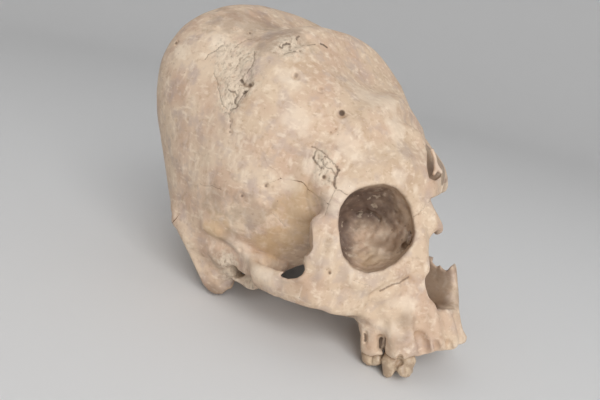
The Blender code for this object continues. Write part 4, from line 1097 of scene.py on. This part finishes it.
class Paint:
    """A node material, built one layer at a time."""

    def __init__(self, name):
        self.material = bpy.data.materials.new(name)
        self.material.use_nodes = True
        self.tree = self.material.node_tree
        self.shader = self.tree.nodes["Principled BSDF"]
        self.place = self.tree.nodes.new("ShaderNodeTexCoord").outputs["Object"]

    def put(self, value, socket):
        """A constant or another node's output into a socket."""
        if isinstance(value, bpy.types.NodeSocket):
            self.tree.links.new(value, socket)
        else:
            socket.default_value = value

    def noise(self, length, seed, detail=3.0, stretch=None):
        """Noise from 0 to 1 with features of this length in millimetres."""
        node = self.tree.nodes.new("ShaderNodeTexNoise")
        node.noise_dimensions = "4D"
        place = self.place
        if stretch:
            squeeze = self.tree.nodes.new("ShaderNodeVectorMath")
            squeeze.operation = "MULTIPLY"
            self.put(self.place, squeeze.inputs[0])
            squeeze.inputs[1].default_value = stretch
            place = squeeze.outputs[0]
        self.put(place, node.inputs["Vector"])
        node.inputs["W"].default_value = seed
        node.inputs["Scale"].default_value = 1 / (length * MILLIMETRE)
        node.inputs["Detail"].default_value = detail
        return node.outputs["Fac"]

    def cells(self, length, seed):
        """Distance from scattered points, in shares of this spacing in millimetres."""
        node = self.tree.nodes.new("ShaderNodeTexVoronoi")
        node.voronoi_dimensions = "4D"
        self.put(self.place, node.inputs["Vector"])
        node.inputs["W"].default_value = seed
        node.inputs["Scale"].default_value = 1 / (length * MILLIMETRE)
        return node.outputs["Distance"]

    def mark(self, name):
        """A named mark, from 0 to 1."""
        node = self.tree.nodes.new("ShaderNodeAttribute")
        node.attribute_name = name
        return node.outputs["Fac"]

    def sums(self, operation, first, second):
        """Two values added, subtracted or multiplied."""
        node = self.tree.nodes.new("ShaderNodeMath")
        node.operation = operation
        self.put(first, node.inputs[0])
        self.put(second, node.inputs[1])
        return node.outputs[0]

    def rise(self, value, start, end, top=1.0):
        """0 before start, top after end, smooth between."""
        node = self.tree.nodes.new("ShaderNodeMapRange")
        node.interpolation_type = "SMOOTHSTEP"
        self.put(value, node.inputs["Value"])
        node.inputs["From Min"].default_value = start
        node.inputs["From Max"].default_value = end
        node.inputs["To Max"].default_value = top
        return node.outputs["Result"]

    def ragged(self, name, grain, top=1.0):
        """A mark whose edge a noise breaks up."""
        here = self.mark(name)
        loose = self.sums("ADD", here, self.sums("MULTIPLY", self.sums("SUBTRACT", grain, 0.5), 2.2))
        return self.sums("MULTIPLY", self.rise(loose, 0.15, 0.75, top), self.rise(here, 0.0, 0.25))

    def mix(self, share, under, over):
        """One colour over another."""
        node = self.tree.nodes.new("ShaderNodeMix")
        node.data_type = "RGBA"
        self.put(share, node.inputs["Factor"])
        self.put(under, node.inputs["A"])
        self.put(over, node.inputs["B"])
        return node.outputs["Result"]

    def bump(self, height, strength, distance, below=None):
        """A surface that a height in shares of this distance in millimetres roughens."""
        node = self.tree.nodes.new("ShaderNodeBump")
        self.put(height, node.inputs["Height"])
        self.put(strength, node.inputs["Strength"])
        node.inputs["Distance"].default_value = distance * MILLIMETRE
        if below:
            self.put(below, node.inputs["Normal"])
        return node.outputs["Normal"]


CREAM, PINK_TAN, LILAC = linear(221, 197, 171), linear(198, 166, 143), linear(178, 159, 151)
TAN, PALE_FLECK_AND_LIGHT, SPONGY = linear(172, 141, 113), linear(238, 220, 198), linear(222, 206, 184)
OCHRE_STAIN, DUSK_SHADE, CRACK_AND_SHADE_BROWN = linear(192, 158, 112), linear(146, 125, 109), linear(78, 62, 50)
SOCKET_SHADE_BROWN, INSIDE_DUST_AND_SHADE, PORE = linear(104, 87, 79), linear(150, 122, 98), linear(120, 98, 80)
ENAMEL, ENAMEL_PALE, DENTINE = linear(170, 146, 122), linear(204, 182, 155), linear(150, 124, 100)

# Strength of the pinkish tan, lilac grey and tan blotches on each kind of bone.
BONE_TINTS = {
    "face_bone": (0.75, 0.45, 0.45), "vault_bone": (0.80, 0.60, 0.45),
    "base_bone": (0.85, 0.60, 0.65), "inner_bone": (0.70, 0.40, 0.80),
}
# Ground colour of each kind of bone.
BONE_GROUNDS = {
    "face_bone": linear(212, 188, 162), "vault_bone": linear(218, 195, 170),
    "base_bone": CREAM, "inner_bone": CREAM,
}


def bone_material(slot):
    """Old dry bone: blotches, flecks, stains, pores and cracks, with painted shade in the eye sockets, the
    broken sinus and the dusky patches, and painted light in some pale patches.
    """
    paint = Paint(slot)
    pink, lilac, tan = BONE_TINTS[slot]
    fine = paint.noise(2.2, 1.0, 5.0)
    medium = paint.noise(7.0, 2.0, 4.0)
    colour = BONE_GROUNDS[slot]
    # Noise, the values between which a blotch comes in, its strength and colour.
    for noise, low, high, top, over in (
        (paint.noise(17.0, 3.0, 5.0), 0.38, 0.66, pink, PINK_TAN),
        (paint.noise(11.0, 4.0, 6.0), 0.50, 0.68, lilac, LILAC),
        (paint.noise(26.0, 5.0, 6.0), 0.52, 0.72, tan, TAN),
        (paint.noise(4.5, 6.0, 5.0, (1.0, 1.6, 0.7)), 0.50, 0.72, 0.55, PALE_FLECK_AND_LIGHT),
        (fine, 0.52, 0.68, 0.35, TAN),
        (paint.noise(3.0, 12.0, 6.0, (1.0, 0.6, 1.5)), 0.54, 0.68, 0.45, PALE_FLECK_AND_LIGHT),
        (paint.noise(8.0, 13.0, 8.0), 0.55, 0.66, 0.35, LILAC),
    ):
        colour = paint.mix(paint.rise(noise, low, high, top), colour, over)
    # Stains, dusky patches that paint shade, pale patches that are partly painted light, and erosion.
    for name, noise, top, over in (("ochre", medium, 0.45, OCHRE_STAIN), ("dusky_shade", medium, 0.45, DUSK_SHADE),
                                   ("pale_and_lit", medium, 0.45, PALE_FLECK_AND_LIGHT), ("eroded", fine, 0.65, SPONGY)):
        colour = paint.mix(paint.ragged(name, noise, top), colour, over)
    veins = paint.rise(paint.noise(2.0, 14.0, 6.0, (1.4, 1.4, 0.7)), 0.50, 0.64, 0.60)
    colour = paint.mix(paint.sums("MULTIPLY", veins, paint.mark("eroded")), colour, PORE)
    # Paler edges, tan hollows, and the browner inside of dust and painted shade.
    for name, top, over in (("edge", 0.30, PALE_FLECK_AND_LIGHT), ("hollow", 0.55, TAN),
                            ("inside", 0.75, INSIDE_DUST_AND_SHADE)):
        colour = paint.mix(paint.rise(paint.mark(name), 0.0, 1.0, top), colour, over)
    # Painted shade deep in the eye sockets, broken up by noise.
    socket = paint.sums("ADD", paint.mark("socket"), paint.sums("SUBTRACT", medium, 0.5))
    colour = paint.mix(paint.rise(socket, 0.1, 1.0, 0.85), colour, SOCKET_SHADE_BROWN)
    glints = paint.rise(paint.noise(3.2, 9.0, 3.0), 0.58, 0.68, 0.6)
    colour = paint.mix(paint.sums("MULTIPLY", glints, paint.mark("socket")), colour, SPONGY)
    spots = paint.rise(paint.cells(2.6, 7.0), 0.16, 0.08)
    colour = paint.mix(paint.sums("MULTIPLY", spots, paint.rise(medium, 0.5, 0.6, 0.5)), colour, PORE)
    # Cracks and pits darkened; the same mark carries the painted shade in the broken sinus.
    colour = paint.mix(paint.rise(paint.mark("crack"), 0.25, 0.85, 0.9), colour, CRACK_AND_SHADE_BROWN)
    paint.put(colour, paint.shader.inputs["Base Color"])
    paint.put(paint.sums("ADD", paint.rise(medium, 0.3, 0.7, 0.15), 0.62), paint.shader.inputs["Roughness"])
    paint.shader.inputs["Specular IOR Level"].default_value = 0.35
    low = paint.bump(paint.noise(5.0, 8.0, 4.0), 0.5, 0.7)
    grain = paint.bump(paint.noise(1.1, 10.0, 4.0), 0.45, 0.22, low)
    eroded = paint.rise(paint.mark("eroded"), 0.1, 0.8, 0.9)
    paint.put(paint.bump(paint.noise(2.0, 11.0, 5.0), eroded, 1.4, grain), paint.shader.inputs["Normal"])
    return paint.material


def tooth_material():
    """Worn enamel over browner roots."""
    paint = Paint("tooth")
    fine = paint.noise(1.6, 21.0, 4.0)
    colour = paint.mix(paint.rise(paint.noise(4.0, 22.0, 4.0), 0.42, 0.62), ENAMEL, ENAMEL_PALE)
    colour = paint.mix(paint.rise(paint.mark("root"), 0.2, 0.8, 0.9), colour, DENTINE)
    colour = paint.mix(paint.rise(fine, 0.55, 0.72, 0.5), colour, DENTINE)
    colour = paint.mix(paint.rise(paint.mark("crack"), 0.2, 0.8, 0.92), colour, CRACK_AND_SHADE_BROWN)
    paint.put(colour, paint.shader.inputs["Base Color"])
    paint.put(paint.sums("ADD", paint.rise(fine, 0.3, 0.7, 0.2), 0.32), paint.shader.inputs["Roughness"])
    paint.put(paint.bump(paint.noise(1.4, 23.0, 3.0), 0.35, 0.2), paint.shader.inputs["Normal"])
    return paint.material


# Teeth: chains of (pixel, neighbour that gives the depth, how far behind the face, radius)

TOOTH_STEP, TOOTH_BAND, TOOTH_PAD, TOOTH_SPREAD = 0.4, 6, 8, 0.5
# How much narrower the stain in a groove is, its darkness, and the pixel rows where the root begins.
GROOVE_INSET, GROOVE_DARKNESS, ROOT_PIXELS = 0.3, 0.8, (350, 362)
TOOTH_LOBES = {
    "first_molar_right": (
        (((390, 362), (392, 366), 4.0, 4.2), ((388, 373), (392, 366), 4.2, 1.9)),
        (((407, 361), (403, 366), 4.0, 4.2), ((406, 373), (403, 366), 4.2, 1.9)),
    ),
    "second_molar_right": (
        (((368, 354), (371, 358), 3.6, 3.6), ((367, 361), (371, 358), 3.6, 2.6)),
        (((376, 354), (374, 358), 3.6, 3.4), ((375, 360), (374, 358), 3.6, 2.6)),
    ),
}
TOOTH_CUTS = {
    "first_molar_right": (
        (((398, 360), (403, 366), 0.4, 0.9), ((396, 372), (392, 366), 0.2, 0.8)),
        (((400, 362), (403, 366), 1.2, 1.5),),
    ),
    "second_molar_right": (
        (((372, 352), (374, 358), 0.2, 0.7), ((371, 364), (371, 358), 0.2, 0.6)),
    ),
}
TOOTH_OUTLINE_PIXELS = (
    (350, 290), (360, 350), (362, 361), (368, 366), (379, 367), (382, 374), (386, 378), (391, 377),
    (396, 370), (400, 376), (406, 378), (411, 377), (414, 372), (417, 361), (430, 354), (450, 290),
)


def tooth_grid(name):
    """A tooth: its blocked-out form softened, with lobes, grooves and a cavity."""
    low, values = level_set(*ARRAYS[name], TOOTH_STEP, TOOTH_BAND)
    values = np.pad(values, TOOTH_PAD, constant_values=values.max())
    grid = Grid(blurred(values, TOOTH_SPREAD, TOOTH_STEP), low - TOOTH_PAD, TOOTH_STEP)
    for row in TOOTH_LOBES[name]:
        grid.add([(level_with(pixel, by, deeper), radius) for pixel, by, deeper, radius in row], 1.5)
    for row in TOOTH_CUTS[name]:
        grid.cut([(level_with(pixel, by, deeper), radius) for pixel, by, deeper, radius in row], 0.8)
    grid.trim(TOOTH_OUTLINE_PIXELS, grid.low * TOOTH_STEP, (grid.low + grid.values.shape) * TOOTH_STEP, 0.9)
    return grid


def tooth_marks(name, points):
    """Stain in a tooth's grooves, and its root."""
    rows = [([level_with(pixel, by, deeper) for pixel, by, deeper, _ in row],
             row[0][3] - GROOVE_INSET, CRACK_SOFT, GROOVE_DARKNESS) for row in TOOTH_CUTS[name]]
    down = pixels_at(*points.T)[1]
    return {"crack": near_chains(points, rows), "root": 1 - eased(down, *ROOT_PIXELS)}


def make_bones():
    """Every finished piece, in the place of its solid."""
    teeth = np.full(COUNTS, FAR, np.float32)
    tooth_paint = tooth_material()
    for name in TOOTH_NODES:
        grid = tooth_grid(name)
        points, faces = surface(grid.values, grid.low, TOOTH_STEP)
        piece_from(name + "_surface", points, faces, name, tooth_paint, tooth_marks(name, points))
        place, axes = Grid(teeth, LOW, STEP).window(points.min(axis=0) - 1, points.max(axis=0) + 1)
        cells = np.column_stack([axis.ravel() for axis in np.broadcast_arrays(*axes)])
        teeth[place] = np.minimum(teeth[place], grid.read(cells).reshape(teeth[place].shape))
    first, second, nearest, grids = gathered(BONE_NODES)
    whole, rows, patches = shaped(first, second, teeth)
    broad = Grid(blurred(whole.values, BROAD_SPREAD, STEP), LOW, STEP)
    paints = {slot: bone_material(slot) for slot in BONE_TINTS}
    for n, name in enumerate(BONE_NODES):
        low, values = grids[name]
        place = part_of(low, values.shape)
        others = np.where(nearest[place] == n, second[place], first[place])
        own = Grid((values - others) / 2 + np.float32(SEAM_GAP / 2), low, STEP)
        points, faces = surface(np.maximum(whole.values[place], own.values), low, STEP)
        points, bordering = to_corner(points, whole, own)
        normals = whole.slopes(points[bordering])
        normals /= np.linalg.norm(normals, axis=1)[:, None] + 1e-9
        marks = marks_at(points, broad, rows, patches)
        piece_from(name + "_surface", points, faces, name, paints[SLOT_OF[name]], marks, bordering, normals)


# Stage and light, in metres: the flat floor, the radius of its bend, the wall, the floor's middle disc, and
# how far the floor lies under the cranium.
FLOOR_REACH, FLOOR_BEND, WALL_HEIGHT = 1.2, 0.8, 2.4
FLOOR_START, FLOOR_DROP = 0.02, 0.0002
FLOOR_RINGS, BEND_RINGS, FLOOR_SIDES = 6, 12, 96
FLOOR_GREY = linear(226, 226, 226)
KEY_PLACE, KEY_SIZE, KEY_POWER = (-0.72, -1.06, 0.80), 1.0, 16
WORLD_STRENGTH = 0.47
LAMPS_LOOK_AT = (0, 0, 0.08)


def make_stage():
    """A pale round floor that bends up into a plain wall all round."""
    run = FLOOR_REACH - FLOOR_START
    profile = [(FLOOR_START + n * run / FLOOR_RINGS, 0) for n in range(FLOOR_RINGS + 1)]
    for n in range(1, BEND_RINGS + 1):
        turn = math.pi / 2 * n / BEND_RINGS
        profile.append((FLOOR_REACH + FLOOR_BEND * math.sin(turn), FLOOR_BEND * (1 - math.cos(turn))))
    profile.append((FLOOR_REACH + FLOOR_BEND, WALL_HEIGHT))
    made = bmesh.new()
    rings = []
    turns = [2 * math.pi * n / FLOOR_SIDES for n in range(FLOOR_SIDES)]
    for radius, height in profile:
        rings.append([made.verts.new((radius * math.cos(turn), radius * math.sin(turn), height - FLOOR_DROP))
                      for turn in turns])
    made.faces.new(rings[0])
    for low, high in zip(rings, rings[1:]):
        for n in range(FLOOR_SIDES):
            after = (n + 1) % FLOOR_SIDES
            made.faces.new((low[n], high[n], high[after], low[after]))
    mesh = bpy.data.meshes.new("floor")
    made.to_mesh(mesh)
    made.free()
    mesh.shade_smooth()
    floor = bpy.data.objects.new("floor", mesh)
    bpy.context.scene.collection.objects.link(floor)
    material = bpy.data.materials.new("floor")
    material.use_nodes = True
    shader = material.node_tree.nodes["Principled BSDF"]
    shader.inputs["Base Color"].default_value = FLOOR_GREY
    shader.inputs["Roughness"].default_value = 0.9
    shader.inputs["Specular IOR Level"].default_value = 0.0
    mesh.materials.append(material)


def lamp(name, place, size, energy):
    """A square soft light that looks at the cranium's middle."""
    data = bpy.data.lights.new(name, "AREA")
    data.size = size
    data.energy = energy
    light = bpy.data.objects.new(name, data)
    bpy.context.scene.collection.objects.link(light)
    light.location = place
    light.rotation_euler = (Vector(LAMPS_LOOK_AT) - Vector(place)).to_track_quat("-Z", "Y").to_euler()


def make_light():
    """A white world and one soft key light."""
    world = bpy.data.worlds.new("studio")
    world.use_nodes = True
    world.node_tree.nodes["Background"].inputs["Color"].default_value = (1, 1, 1, 1)
    world.node_tree.nodes["Background"].inputs["Strength"].default_value = WORLD_STRENGTH
    bpy.context.scene.world = world
    lamp("key", KEY_PLACE, KEY_SIZE, KEY_POWER)
    bpy.context.scene.view_settings.view_transform = "Standard"


make_camera()
make_light()
make_stage()
make_bones()
